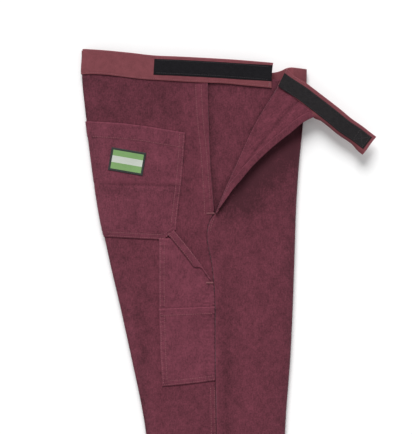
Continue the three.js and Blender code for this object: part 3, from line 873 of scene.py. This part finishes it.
# The far side's band, seen inside the opening: it rises to the near bands at both creases.
along = spread(0, 1, 0.008)[None, :]
crude = -209.5 + 361 * along
top = on_knots(crude, [-215, -100, 60, 98, 112, 119, 153], [-13.5, -1, 9, 22.5, 19, 15.5, 17.6])
foot = np.interp(crude, [-215, -100, 60, 153], [24, 34, 44, 56])
depth = top + BAND_SHARE * (foot - top)
edge = np.minimum(crude + 211.5, 153 - crude)
height = 2.2 + 8.2 * bell(edge, 13) + 2.6 * bell(crude - 104, 12)
height = height + BAND_LIFT * end_pinch(along, 0, 1, 0.006)
far_grid = {"x": crude + 0 * depth, "depth": depth, "z": height,
            "wear": 0.5 * bell(BAND_SHARE, 0.03) + 0 * height}
far_band = close_form("far_band", far_grid, band_twill)
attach(far_band, "trousers")
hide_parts("left_waistband", "left_interfacing")


# ---- Hook and loop tape -------------------------------------------------------------------
# Black fastening tape, 25 mm wide: soft loop on the back band's outer face, and one length of
# hook that runs over the folded corner's band and the tab. Both are sewn round their borders.
def tape(name, colour, height_m):
    """Close rows of loops or hooks as small dark bumps with dusty specks."""
    weave = Finish(name, 0.85, 0.02, (0.8, 0.8, 0.85), 0.1)
    across, along = weave.across_and_along()
    cells = weave.add("ShaderNodeTexVoronoi", {"feature": "F1"},
                      {"Vector": weave.add("ShaderNodeCombineXYZ", None,
                                           {"X": across, "Y": along}), "Scale": 900.0})
    cloud = weave.noise(across, along, 160, 160, 3.0)
    fleck = weave.noise(across, along, 1900, 1900, 1.0)
    tone = (cloud * 0.5 + fleck * 0.6 - cells * 0.35 - 0.05).clamp()
    colours = weave.mix(tone, shade(colour, 0.45), shade(colour, 1.7))
    selvedge = (weave.attribute("wear") * 0.8).clamp()
    colours = weave.mix(selvedge, colours, shade(colour, 0.7))
    return weave.close(colours, 1.0 - cells, height_m)


loop_material = tape("loop_tape", (0.0105, 0.0098, 0.012), 0.0004)
hook_material = tape("hook_tape", (0.021, 0.019, 0.0205), 0.0005)
TAPE_LIFT = 0.5 * np.sign(np.sin(around)) * np.abs(np.sin(around)) ** 0.3
border = bell(BAND_SHARE, 0.07) + bell(1 - BAND_SHARE, 0.07)

LOOP_LENGTH, LOOP_WIDTH = 189.2, 25.6
along = np.concatenate([[0, 0.3, 0.8, 1.6], spread(3, 186, 2.5), [187.6, 188.4, 188.9, LOOP_LENGTH]])
along = along[None, :]
crude = -92 + along
depth = band_top(crude) + 5.2 - 1.2 * ease(crude, 40, 97) + LOOP_WIDTH * BAND_SHARE
lift = 2.3 + TAPE_LIFT * end_pinch(along, 0, LOOP_LENGTH) * (1 - 0.25 * border)
height = right_band_face(crude, depth) + lift
across = crude - 0.06 * (depth - band_top(crude))
ends = bell(along, 1.5) + bell(LOOP_LENGTH - along, 1.5)
loop_grid = {"x": across, "depth": depth, "z": height, "wear": np.clip(border + ends, 0, 1)}
loop_tape = close_form("loop_tape", loop_grid, loop_material)
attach(loop_tape, "trousers")
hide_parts("back_loop_tape")

HOOK_START, HOOK_END, HOOK_WIDTH = 10.4, 182, 23.2
along = np.concatenate([[HOOK_START, 10.7, 11.2, 12], spread(14, 179, 2), [180.4, 181.2, 181.7, HOOK_END]])
along = along[None, :]
centre = -2.7 * ease(along, 15, 57)
down = centre + HOOK_WIDTH * (BAND_SHARE - 0.5)
slanted = along + down * 0.2 * ease(along, 60, 13)
lift = BAND_HALF + 0.55 + TAPE_LIFT * end_pinch(along, HOOK_START, HOOK_END) * (1 - 0.25 * border)
down, height = curled(along, down, lift)
across, depth = on_band(slanted, down)
ends = bell(along - HOOK_START, 1.5) + bell(HOOK_END - along, 1.5)
hook_grid = {"x": across, "depth": depth, "z": height, "wear": np.clip(border + ends, 0, 1),
             "u": along + 0 * across, "v": -25 * BAND_SHARE + 0 * across}
hook_tape = close_form("hook_tape", hook_grid, hook_material, flip=True)
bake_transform(hook_tape)
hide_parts("flap_hook_tape", "tab_hook_tape")


# ---- Back pocket and its label ------------------------------------------------------------
# A patch of the same cord, its grain a little paler, with a turned mouth and a twin row of
# stitches; its back edge is caught in the back crease. A small woven label is sewn on it.
pocket_cord = needlecord("pocket_needlecord", (0.121, 0.0276, 0.044), 1.7)


def pocket_top(across):
    """Depth of the back pocket's mouth: a smooth curve through places across."""
    return on_knots(across, [-210, -133, -43], [100.5, 105.9, 119.8])


def pocket_foot(across):
    """Depth of the back pocket's lower edge, cut off slantwise at its side corner."""
    foot = on_knots(across, [-200, -170, -76, -40], [285.5, 286.7, 291.2, 292])
    return foot - np.maximum(across + 78, 0) * 0.8


def pocket_side(depth):
    """Across place of the back pocket's side edge: a smooth curve down the pocket."""
    return on_knots(depth, [100, 120, 149, 190, 272, 300], [-43, -43.2, -44.8, -48, -57.6, -60])


def pocket_lift(across, depth):
    """The pocket's face over the panel's: one thickness at its sewn sides, fuller inside, a
    little open at the mouth, pressed flat again along a crease half way down."""
    side = np.maximum(pocket_side(depth) - across, 0)
    foot = np.maximum(pocket_foot(across) - depth, 0)
    mouth = np.maximum(depth - pocket_top(across), 0)
    full = (1 - np.exp(-side / 11)) * (1 - np.exp(-foot / 13)) * ease(across, -206, -150)
    hem = 0.7 * ease(mouth, 27, 22)
    crease = -1.6 * bell(depth - 204 - 0.03 * (across + 120), 4.5) * full
    sewn = 0.45 * (bell(side - 2.2, 0.8) + bell(side - 8.4, 0.8))
    sewn = sewn + 0.45 * (bell(foot - 2.2, 0.8) + bell(foot - 8, 0.8))
    waves = 0.35 * ripples(across, depth, 31, 48, 1.0) * full
    return 1.45 + 2.3 * full + hem + crease - sewn + waves + pucker(side, depth, 5.0) * 0.8


def patch_wear(*gaps):
    """Paler cloth along the patch's turned edges."""
    return sum(0.5 * bell(gap, 1.6) for gap in gaps)


POCKET_TRAVEL = 172  # columns run to this number, which stands for the side edge
columns = np.concatenate([spread(1.2, ROLL_ARC, 0.9), spread(ROLL_ARC, POCKET_TRAVEL, 1.8)[1:]])
columns = columns[None, :]
rows = spread(0, 1, 0.0105)[:, None]
crude = np.where(columns < ROLL_ARC, -200, -203 + columns - ROLL_ARC)
for settle in range(3):
    depth = pocket_top(crude) + (pocket_foot(crude) - pocket_top(crude)) * rows
    full_travel = travel_to(pocket_side(depth), depth)
    share = np.maximum(columns - ROLL_ARC, 0) / (POCKET_TRAVEL - ROLL_ARC)
    travel = np.minimum(columns, ROLL_ARC) + share * (full_travel - ROLL_ARC)
    crude = wrap(travel, depth, back_face)[0]
across, height = wrap(travel, depth, back_face, pocket_lift(crude, depth))
wear = patch_wear(pocket_side(depth) - crude, pocket_foot(crude) - depth, depth - pocket_top(crude))
wear = wear + 0.22 * bell(depth - 199, 3.5)
# Painted shadow below the crease half way down the pocket and a dark line along it, with a little random
# tone.
crease_gap = depth - 203 - 0.03 * (crude + 120)
tone_and_painted_shading = -0.16 * bell(crease_gap - 8, 8) - 0.2 * bell(crease_gap, 1.3)
tone_and_painted_shading = (tone_and_painted_shading + 0.04) * ease(crude, -196, -170) + 0.03 * ripples(crude, depth, 61, 50, 1.0)
pocket_grid = {"x": across, "depth": depth, "z": height, "wear": wear, "tone_and_painted_shading": tone_and_painted_shading}
back_pocket = cut_cloth("back_pocket", [pocket_grid], pocket_cord)
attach(back_pocket, "trousers")
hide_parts("right_back_pocket")


def pocket_face(across, depth):
    """Height of the back pocket's face: the panel's plus the pocket's own lift."""
    return back_face(across, depth) + pocket_lift(across, depth)


label_cloth = Finish("woven_label", 0.6, 0.1, (1, 1, 1), 0.35)
width_m, height_m = label_cloth.across_and_along()
weft = (height_m * (2 * np.pi / 0.0005)).sine() * 0.5 + 0.5
inside = (width_m.above(0.0034) * (0.0529 - width_m).above(0.0)
          * (height_m + 0.0336).above(0.0) * (0.0 - height_m - 0.0034).above(0.0))
stripe = (height_m + 0.0232).above(0.0) * (0.0 - height_m - 0.0125).above(0.0)
ground = label_cloth.mix(stripe, (0.20, 0.37, 0.125, 1), (0.60, 0.64, 0.57, 1))
edged = label_cloth.mix(inside, (0.012, 0.013, 0.015, 1), ground)
thread_tone = label_cloth.noise(width_m, height_m, 2500, 2500, 1.0)
edged = label_cloth.mix(thread_tone * 0.35, edged, (0.03, 0.05, 0.03, 1))
label_material = label_cloth.close(edged, weft * 0.6 + thread_tone * 0.4, 0.00015)
LABEL_WIDE, LABEL_HIGH = 56.3, 37.0
LABEL_TURN = np.radians(9.8)
LABEL_CORNER = (-160.6, 142.7)  # its upper back corner, across and below the waist point
w, h = spread(0, LABEL_WIDE, 1.3)[None, :], spread(0, LABEL_HIGH, 1.3)[:, None]
across = LABEL_CORNER[0] + w * np.cos(LABEL_TURN) - h * np.sin(LABEL_TURN)
depth = LABEL_CORNER[1] + w * np.sin(LABEL_TURN) + h * np.cos(LABEL_TURN)
label_grid = {"x": across, "depth": depth, "z": pocket_face(across, depth) + 0.85,
              "u": w + 0 * h, "v": -h + 0 * w}
label = cut_cloth("woven_label", [label_grid], label_material, 0.7)
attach(label, "trousers")
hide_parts("label_patch")


# ---- Tool pocket --------------------------------------------------------------------------
# Two patches on the leg below the back pocket: the upper has a slanted bound mouth towards
# the side seam, the lower lies over it with a straight mouth. Both end in the side seam.
def tool_left(depth):
    """Across place of the tool pocket's back edge: a smooth curve down the pocket."""
    return on_knots(depth, [280, 404, 495, 528], [-85, -84.6, -81.6, -79.4])


def tool_mouth(across):
    """Depth of the slanted mouth: a smooth curve through places across."""
    return on_knots(across, [-70, -62, -19, -8, 0, 8], [266, 275.5, 330, 346, 357, 364])


def tool_foot(across):
    """Depth of the tool pocket's lower edge: a smooth curve through places across."""
    return on_knots(across, [-84, -44, 10], [527, 523, 516.5])


def lower_mouth(across):
    """Depth of the lower patch's straight mouth, which rises a little to the seam."""
    return 401.9 - 0.043 * (across + 85.4)


def tool_lift(across, depth, mouth, foot):
    """A patch's face over what it lies on: fuller away from its sewn edges, thicker at the
    mouth's hem, sunk along each row of stitches and gathered at both sides."""
    left = np.maximum(across - tool_left(depth), 0)
    side = np.maximum(side_seam(depth) - across, 0)
    down, in_from = np.maximum(foot - depth, 0), np.maximum(depth - mouth, 0)
    full = (1 - np.exp(-left / 9)) * (1 - np.exp(-side / 9)) * (1 - np.exp(-down / 12))
    sewn = sum(0.4 * bell(gap - at, 0.8) for gap, at in
               ((left, 2.2), (left, 8.4), (down, 2.2), (down, 8)))
    gathers = 0.8 * pucker(left - 5, depth, 7.0) + 0.6 * pucker(side, depth, 3.0)
    return 1.4 + 1.5 * full + 0.5 * ease(in_from, 16, 10) - sewn + gathers


def tool_patch(name, mouth_of, foot_of, base, node):
    """A patch between the pocket's left edge and the side seam, laid on the given face."""
    rows, columns = spread(0, 1, 0.014)[:, None], spread(0, 1, 0.02)[None, :]
    across = tool_left(400) + (2 - tool_left(400)) * columns + 0 * rows
    for settle in range(3):
        depth = mouth_of(across) + (foot_of(across) - mouth_of(across)) * rows
        across = tool_left(depth) + (side_seam(depth) - 0.6 - tool_left(depth)) * columns
    depth = mouth_of(across) + (foot_of(across) - mouth_of(across)) * rows
    lift = tool_lift(across, depth, mouth_of(across), tool_foot(across))
    wear = patch_wear(across - tool_left(depth), depth - mouth_of(across), foot_of(across) - depth)
    tone_and_painted_shading = 0.09 + 0.03 * ripples(across, depth, 71, 40, 1.0)
    grid = {"x": across, "depth": depth, "z": base(across, depth) + lift, "wear": wear,
            "tone_and_painted_shading": tone_and_painted_shading}
    patch = cut_cloth(name, [grid], pocket_cord)
    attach(patch, "trousers")
    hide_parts(node)
    return patch


def upper_mouth(across):
    """The upper patch's top edge: the slanted mouth, cut level where the back pocket ends."""
    return np.maximum(tool_mouth(across), 289.0)


upper_patch = tool_patch("upper_tool_pocket", upper_mouth, lambda across: 415 + 0 * across,
                         back_face, "tool_pocket_upper")


def upper_patch_face(across, depth):
    """Height of the upper patch's face: the panel's plus its lift, which fades below it."""
    return back_face(across, depth) + tool_lift(across, depth, upper_mouth(across),
                                                tool_foot(across)) * ease(depth, 440, 400)


lower_patch = tool_patch("lower_tool_pocket", lower_mouth, tool_foot, upper_patch_face,
                         "tool_pocket_lower")


def lower_patch_face(across, depth):
    """Height of the lower patch's face: the upper one's plus its own lift."""
    return upper_patch_face(across, depth) + tool_lift(across, depth, lower_mouth(across),
                                                       tool_foot(across))


# The slanted mouth's binding is a doubled strip of the same cord.
travel = spread(0, 1, 0.02)[:, None]
strip = spread(0, 1, 0.125)[None, :]
middle = -61.5 + 60.5 * travel
wide = 12.0 - 9.6 * ease(travel, 0.67, 0.77)
across = middle - wide * (1 - strip) * 0.74
depth = tool_mouth(middle) - 0.6 + wide * (1 - strip) * 0.66
crown = 0.7 * np.sqrt(np.clip(1 - (2 * strip - 1) ** 2, 0, 1))
height = upper_patch_face(across, depth) + 1.3 + crown
binding_grid = {"x": across, "depth": depth, "z": height,
                "wear": 0.16 + 0.4 * (strip > 0.9) + 0.3 * (strip < 0.1) + 0 * travel}
binding = cut_cloth("slanted_mouth_binding", [binding_grid], pocket_cord, 1.6)
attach(binding, "trousers")
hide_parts("tool_pocket_binding")


# ---- Hidden left side ---------------------------------------------------------------------
# The far leg lies flat on the floor under the near one: two panels of the same cord, rolled
# up at both creases, with their hidden halves inside and a plain back pocket underneath.
LEFT_ROLL = 2.7
LEFT_FACE = 1.4  # height of the face that lies on the floor
ROLL_COLUMNS = 8.4  # columns up to this number go round the roll
PANEL_COLUMNS = 210  # and on to this one, which stands for the side seam


def far_wrap(travel, depth, side, lift=0.0):
    """As wrap(), for the side that faces the floor: down round the roll, then flat."""
    edge = leg_edge(depth, side)
    angle = np.clip(travel / LEFT_ROLL, 0, np.pi) - np.pi / 2
    arc = np.pi * LEFT_ROLL
    on_roll = edge + side * ((LEFT_ROLL + lift) * np.cos(angle) - LEFT_ROLL)
    across = np.where(travel < arc, on_roll, edge - side * (LEFT_ROLL + travel - arc))
    return across, LEFT_FACE + LEFT_ROLL - (LEFT_ROLL + lift) * np.sin(angle)


def far_panel(name, side, top_of, node):
    """One far panel: its face on the floor side, and its hidden half inside the leg."""
    rows = np.concatenate([spread(0, 0.6, 0.008), spread(0.61, 1, 0.01)])[:, None]
    columns = np.concatenate([spread(0, ROLL_COLUMNS, 1.2), spread(9, PANEL_COLUMNS, 4)])[None, :]
    depth = top_of + (HEM - top_of) * rows
    edge = leg_edge(depth, side)
    full = side * (edge - side_seam(depth)) - LEFT_ROLL + np.pi * LEFT_ROLL
    share = np.maximum(columns - ROLL_COLUMNS, 0) / (PANEL_COLUMNS - ROLL_COLUMNS)
    travel = np.minimum(columns, ROLL_COLUMNS) + share * (full - ROLL_COLUMNS)
    across, height = far_wrap(travel, depth, side)
    outer = {"x": across, "depth": depth + 0 * across, "z": height}
    inner = inner_layer(side, 9.3, LEFT_FACE + 2 * LEFT_ROLL)
    layers = [mirrored(outer), inner] if side < 0 else [outer, mirrored(inner)]
    panel = cut_cloth(name, layers, leg_cord)
    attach(panel, "trousers")
    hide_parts(node)
    return panel


left_back = far_panel("left_back_leg", -1, 32.0, "left_back_panel")
left_front = far_panel("left_front_leg", 1, 40.0, "left_front_panel")

columns = np.concatenate([spread(1.5, ROLL_COLUMNS, 1.2), spread(9.5, 158, 4)])[None, :]
rows = spread(0, 1, 0.02)[:, None]
crude = -209 + columns
depth = pocket_top(crude) + (pocket_foot(crude) - pocket_top(crude)) * rows
across, height = far_wrap(columns + 0 * depth, depth, -1, 1.25)
grid = mirrored({"x": across, "depth": depth, "z": height})
left_pocket = cut_cloth("far_back_pocket", [grid], pocket_cord)
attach(left_pocket, "trousers")
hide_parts("left_back_pocket")


# ---- Hems ---------------------------------------------------------------------------------
# The last 25 mm of each panel is turned up inside and sewn: four strips of lining-weight
# cloth, two in each leg, that follow the panels.
rows = spread(HEM - 25, HEM - 0.5, 2.5)[:, None]
columns = spread(0, 1, 0.02)[None, :]
hem_across = back_edge(rows) + 5 + (front_edge(rows) - back_edge(rows) - 10) * columns
hem_depth = rows + 0 * columns
near_z = lie(hem_across, hem_depth)
edge = np.minimum(hem_across - back_edge(rows), front_edge(rows) - hem_across)
puff = 1 - np.exp(-edge / PUFF_REACH)
for name, height in (("right_outer_hem", near_z - 2.0), ("right_inner_hem", 7.4 + 5.0 * puff),
                     ("left_inner_hem", 7.0 + 0.9 * puff),
                     ("left_outer_hem", LEFT_FACE + 2.4 + 0 * puff)):
    grid = {"x": hem_across, "depth": hem_depth, "z": height}
    strip = cut_cloth(name + "_turnup", [grid], lining_twill, 0.7)
    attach(strip, "trousers")
    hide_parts(name)


# ---- Stitching ----------------------------------------------------------------------------
# Burgundy polyester thread in lockstitch rows, bartacks at the slit's foot and the tool
# pocket's mouth, and dark thread round the tapes, crossed in a box near the tab's tip.
def thread(name, colour):
    """Polyester yarn with a fine twist and small changes of tone."""
    yarn = Finish(name, 0.65, 0.05, (1, 0.8, 0.8), 0.3)
    across, along = yarn.across_and_along()
    twist = ((across + along * 2.0) * (2 * np.pi / 0.0006)).sine() * 0.5 + 0.5
    fleck = yarn.noise(across, along, 900, 900, 1.0)
    tone = yarn.mix((twist * 0.4 + fleck * 0.6).clamp(), shade(colour, 0.7), shade(colour, 1.3))
    return yarn.close(tone, twist, 0.0001)


burgundy_thread = thread("burgundy_thread", (0.25, 0.085, 0.1))
dark_thread = thread("dark_thread", (0.04, 0.036, 0.039))
pale_thread = thread("pale_thread", (0.28, 0.14, 0.15))


def stitch_row(line, pitch=3.6):
    """Middles and directions of stitches laid at an even pitch along a line of points."""
    line = np.array(line, float)
    run = np.concatenate([[0], np.cumsum(np.hypot(*np.diff(line, axis=0).T))])
    at = np.arange(pitch / 2, run[-1], pitch)
    middle = np.stack([np.interp(at, run, line[:, 0]), np.interp(at, run, line[:, 1])], -1)
    ahead = np.stack([np.interp(at + 0.5, run, line[:, 0]),
                      np.interp(at + 0.5, run, line[:, 1])], -1) - middle
    return middle, ahead


def sew(name, lines, face, material, body="trousers", length=2.7, thick=0.3, pitch=3.6,
        lift=0.12):
    """Rows of stitches: each is a small rounded bead, drawn out along its row, that lies on
    the face given as a height over each place."""
    rows = [stitch_row(line, pitch) for line in lines]
    middle = np.concatenate([row[0] for row in rows])
    ahead = np.concatenate([row[1] for row in rows])
    ahead = ahead / np.maximum(np.hypot(*ahead.T), 1e-6)[:, None]
    ring = np.arange(6) * np.pi / 3
    ends, girth = np.array([-0.5, -0.36, 0.36, 0.5]), np.array([0.25, 1, 1, 0.25])
    bead_along = np.repeat(ends, 6) * length
    bead_out = (girth[:, None] * np.cos(ring)).ravel() * thick * 1.25
    bead_up = (girth[:, None] * np.sin(ring)).ravel() * thick
    across = middle[:, :1] + bead_along * ahead[:, :1] - bead_out * ahead[:, 1:]
    depth = middle[:, 1:] + bead_along * ahead[:, 1:] + bead_out * ahead[:, :1]
    height = face(across, depth) + lift + bead_up
    points = np.stack([waist_point[0] + across, waist_point[1] - depth, height], -1) * MM
    k = np.arange(6)  # six points round each of a bead's four rings
    ring_quads = np.concatenate([np.stack([r * 6 + k, r * 6 + (k + 1) % 6,
                                           r * 6 + 6 + (k + 1) % 6, r * 6 + 6 + k], -1)
                                 for r in range(3)])
    caps = np.array([[0, 3, 2, 1], [0, 5, 4, 3], [18, 19, 20, 21], [18, 21, 22, 23]])
    quads = np.concatenate([ring_quads, caps])
    count = len(middle)
    faces = (np.arange(count)[:, None, None] * 24 + quads).reshape(-1, 4)
    points = points.reshape(-1, 3)
    piece = make_piece(name, points, faces, points[:, :2], material)
    face_outwards(piece.data)
    if body:
        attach(piece, body)
    return piece


def down_line(across_of, start, end, step=6):
    """A row that runs down the cloth at the place across given for each depth."""
    depth = spread(start, end, step)
    return np.stack([across_of(depth) + 0 * depth, depth], -1)


def over_line(depth_of, start, end, step=6):
    """A row that runs across the cloth at the depth given for each place."""
    across = spread(start, end, step)
    return np.stack([across, depth_of(across) + 0 * across], -1)


def opening_row(depth):
    """Across place of the needle row nearest the opening's edge, a smooth curve."""
    return on_knots(depth, [40, 95, 150, 195, 230, 250], [-17.5, -14.5, -8.8, -5.4, -3.2, -3])


HEM_ROW = HEM - 22
TWIN = 2.2, 8.4  # how far the two needle rows lie from a sewn edge
sew("opening_stitches", [down_line(opening_row, 42, 245),
                         down_line(lambda d: opening_row(d) - 9, 42, 250)],
    back_face, burgundy_thread)
sew("side_seam_stitches", [down_line(lambda d: side_seam(d) - 2.4, 528, HEM - 4),
                           down_line(lambda d: side_seam(d) - TWIN[1], 528, HEM - 4),
                           over_line(lambda x: HEM_ROW + 0 * x, -80, 8)],
    back_face, burgundy_thread)
sew("front_hem_stitches", [over_line(lambda x: HEM_ROW + 0 * x, 16, 107),
                           down_line(lambda d: side_seam(d) + 4.5, 257, 279)], front_face,
    burgundy_thread)
sew("back_pocket_stitches",
    [down_line(lambda d: pocket_side(d) - TWIN[0], 122, 268),
     down_line(lambda d: pocket_side(d) - TWIN[1], 121, 266),
     over_line(lambda x: pocket_foot(x) - TWIN[0], -167, -60),
     over_line(lambda x: pocket_foot(x) - 8, -168, -64),
     over_line(lambda x: pocket_top(x) + 24, -192, -46)],
    pocket_face, burgundy_thread)
sew("label_stitches",
    [np.array([[-159, 144.6], [-106.5, 153.7]]), np.array([[-112.4, 188], [-165, 179]]),
     np.array([[-106.3, 154], [-112.2, 187.8]]), np.array([[-165, 178.5], [-159.2, 144.8]])],
    lambda x, d: pocket_face(x, d) + 0.85, dark_thread, thick=0.22)
sew("upper_tool_pocket_stitches",
    [down_line(lambda d: tool_left(d) + TWIN[0], 294, 398),
     down_line(lambda d: tool_left(d) + TWIN[1], 294, 398)],
    upper_patch_face, burgundy_thread)
sew("lower_tool_pocket_stitches",
    [down_line(lambda d: tool_left(d) + TWIN[0], 404, 522),
     down_line(lambda d: tool_left(d) + TWIN[1], 412, 516),
     over_line(lambda x: tool_foot(x) - TWIN[0], -78, 4),
     over_line(lambda x: tool_foot(x) - 8, -72, 4),
     over_line(lambda x: lower_mouth(x) + 11, -82, 1)],
    lower_patch_face, burgundy_thread)
sew("binding_stitches", [over_line(lambda x: tool_mouth(x) + 1.4, -61, -24),
                         over_line(lambda x: tool_mouth(x + 8) + 5.2, -70, -32)],
    lambda x, d: upper_patch_face(x, d) + 1.9, burgundy_thread)

sew("back_band_stitches",
    [over_line(lambda x: band_top(x) + 2.2, -203, 92),
     over_line(lambda x: band_foot(x) - 2.2, -203, 89),
     down_line(lambda d: 94.2 - 0.075 * d, 11, 46)],
    lambda x, d: right_band_face(x, d) + 1.85, burgundy_thread)
sew("loop_tape_stitches",
    [over_line(lambda x: band_top(x) + 7.0, -89, 92),
     over_line(lambda x: band_top(x) + 27.5, -90, 90)],
    lambda x, d: right_band_face(x, d) + 2.65, dark_thread, thick=0.22)
sew("band_end_tacks",
    [down_line(lambda d: 92.5 + 0 * d, 39.5, 46.5), down_line(lambda d: 94.6 + 0 * d, 9.5, 12.5)],
    lambda x, d: right_band_face(x, d) + 2.0, pale_thread, length=1.6, thick=0.26, pitch=1.7)


def tack(left, right, top, bottom, step=0.8):
    """A bartack: close stitches to and fro between two depths."""
    across = np.arange(left, right, step)
    return [np.array([[x, top], [x + step * 0.4, bottom]]) for x in across]


slit_tack = sew("slit_tack", tack(-8.5, 3.6, 247.4, 250.4), lambda x, d: back_face(x, d) + 0.6,
                burgundy_thread, length=3.0, thick=0.28, pitch=3.0)
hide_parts("slit_bartack")
tool_tack = sew("tool_pocket_tack", tack(-9, 2.0, 358.5, 361.5),
                lambda x, d: upper_patch_face(x, d) + 0.9, burgundy_thread, length=3.0,
                thick=0.28, pitch=3.0)
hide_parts("tool_pocket_bartack")
sew("pocket_corner_tack", tack(-65.5, -60.5, 284, 287), pocket_face, burgundy_thread,
    length=2.6, thick=0.26, pitch=3.0)


def band_line(points):
    """A row on the folded corner's band from places along and down it."""
    along, down = np.array(points, float).T
    length = np.concatenate([[0], np.cumsum(np.hypot(np.diff(along), np.diff(down)))])
    at = spread(0, length[-1], 3)
    along, down = np.interp(at, length, along), np.interp(at, length, down)
    return np.stack(on_band(along, down + band_sway(along)), -1)


def tape_face(across, depth):
    """Height of the hook tape's face over a place."""
    x, y = across - FOLD_TOP[0], -depth - FOLD_TOP[1]
    along = x * BAND_ALONG[0] + y * BAND_ALONG[1]
    down = x * BAND_DOWN[0] + y * BAND_DOWN[1] - band_sway(along)
    return curled(along, down, 0.0)[1] + BAND_HALF + 1.0


box = [(13.5, -10.4), (57, -13.2), (179, -13.2), (179, 7.6), (57, 7.6), (21, 9.4)]
tape_rows = [band_line(box), band_line([(160, -12.6), (160, 7.2)]),
             band_line([(160, -12.6), (179, 7.2)]), band_line([(160, 7.2), (179, -12.6)])]
tape_sewing = sew("hook_tape_stitches", tape_rows, tape_face, dark_thread, None, thick=0.22)
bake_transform(tape_sewing)
border_rows = [band_line([(22, -15.6), (52, -18.2), (150, -17.4), (184.2, -17)]),
               band_line([(184.3, -16.4), (184.3, 9)])]
border_sewing = sew("tab_border_stitches", border_rows, lambda x, d: tape_face(x, d) - 1.1,
                    burgundy_thread, None)
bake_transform(border_sewing)


# ---- Floor --------------------------------------------------------------------------------
# The garment lies on a plain pale sheet that is wider than the view. It is part of the studio
# and not of the object.
floor = bpy.data.objects.new("floor", bpy.data.meshes.new("floor"))
reach = 6.0
floor.data.from_pydata([(-reach, -reach, 0), (reach, -reach, 0), (reach, reach, 0),
                        (-reach, reach, 0)], [], [(0, 1, 2, 3)])
bpy.context.collection.objects.link(floor)
paper = Finish("studio_paper", 0.8)
floor.data.materials.append(paper.material)
paper.set(paper.shader, {"Base Color": (0.9, 0.9, 0.9, 1)})
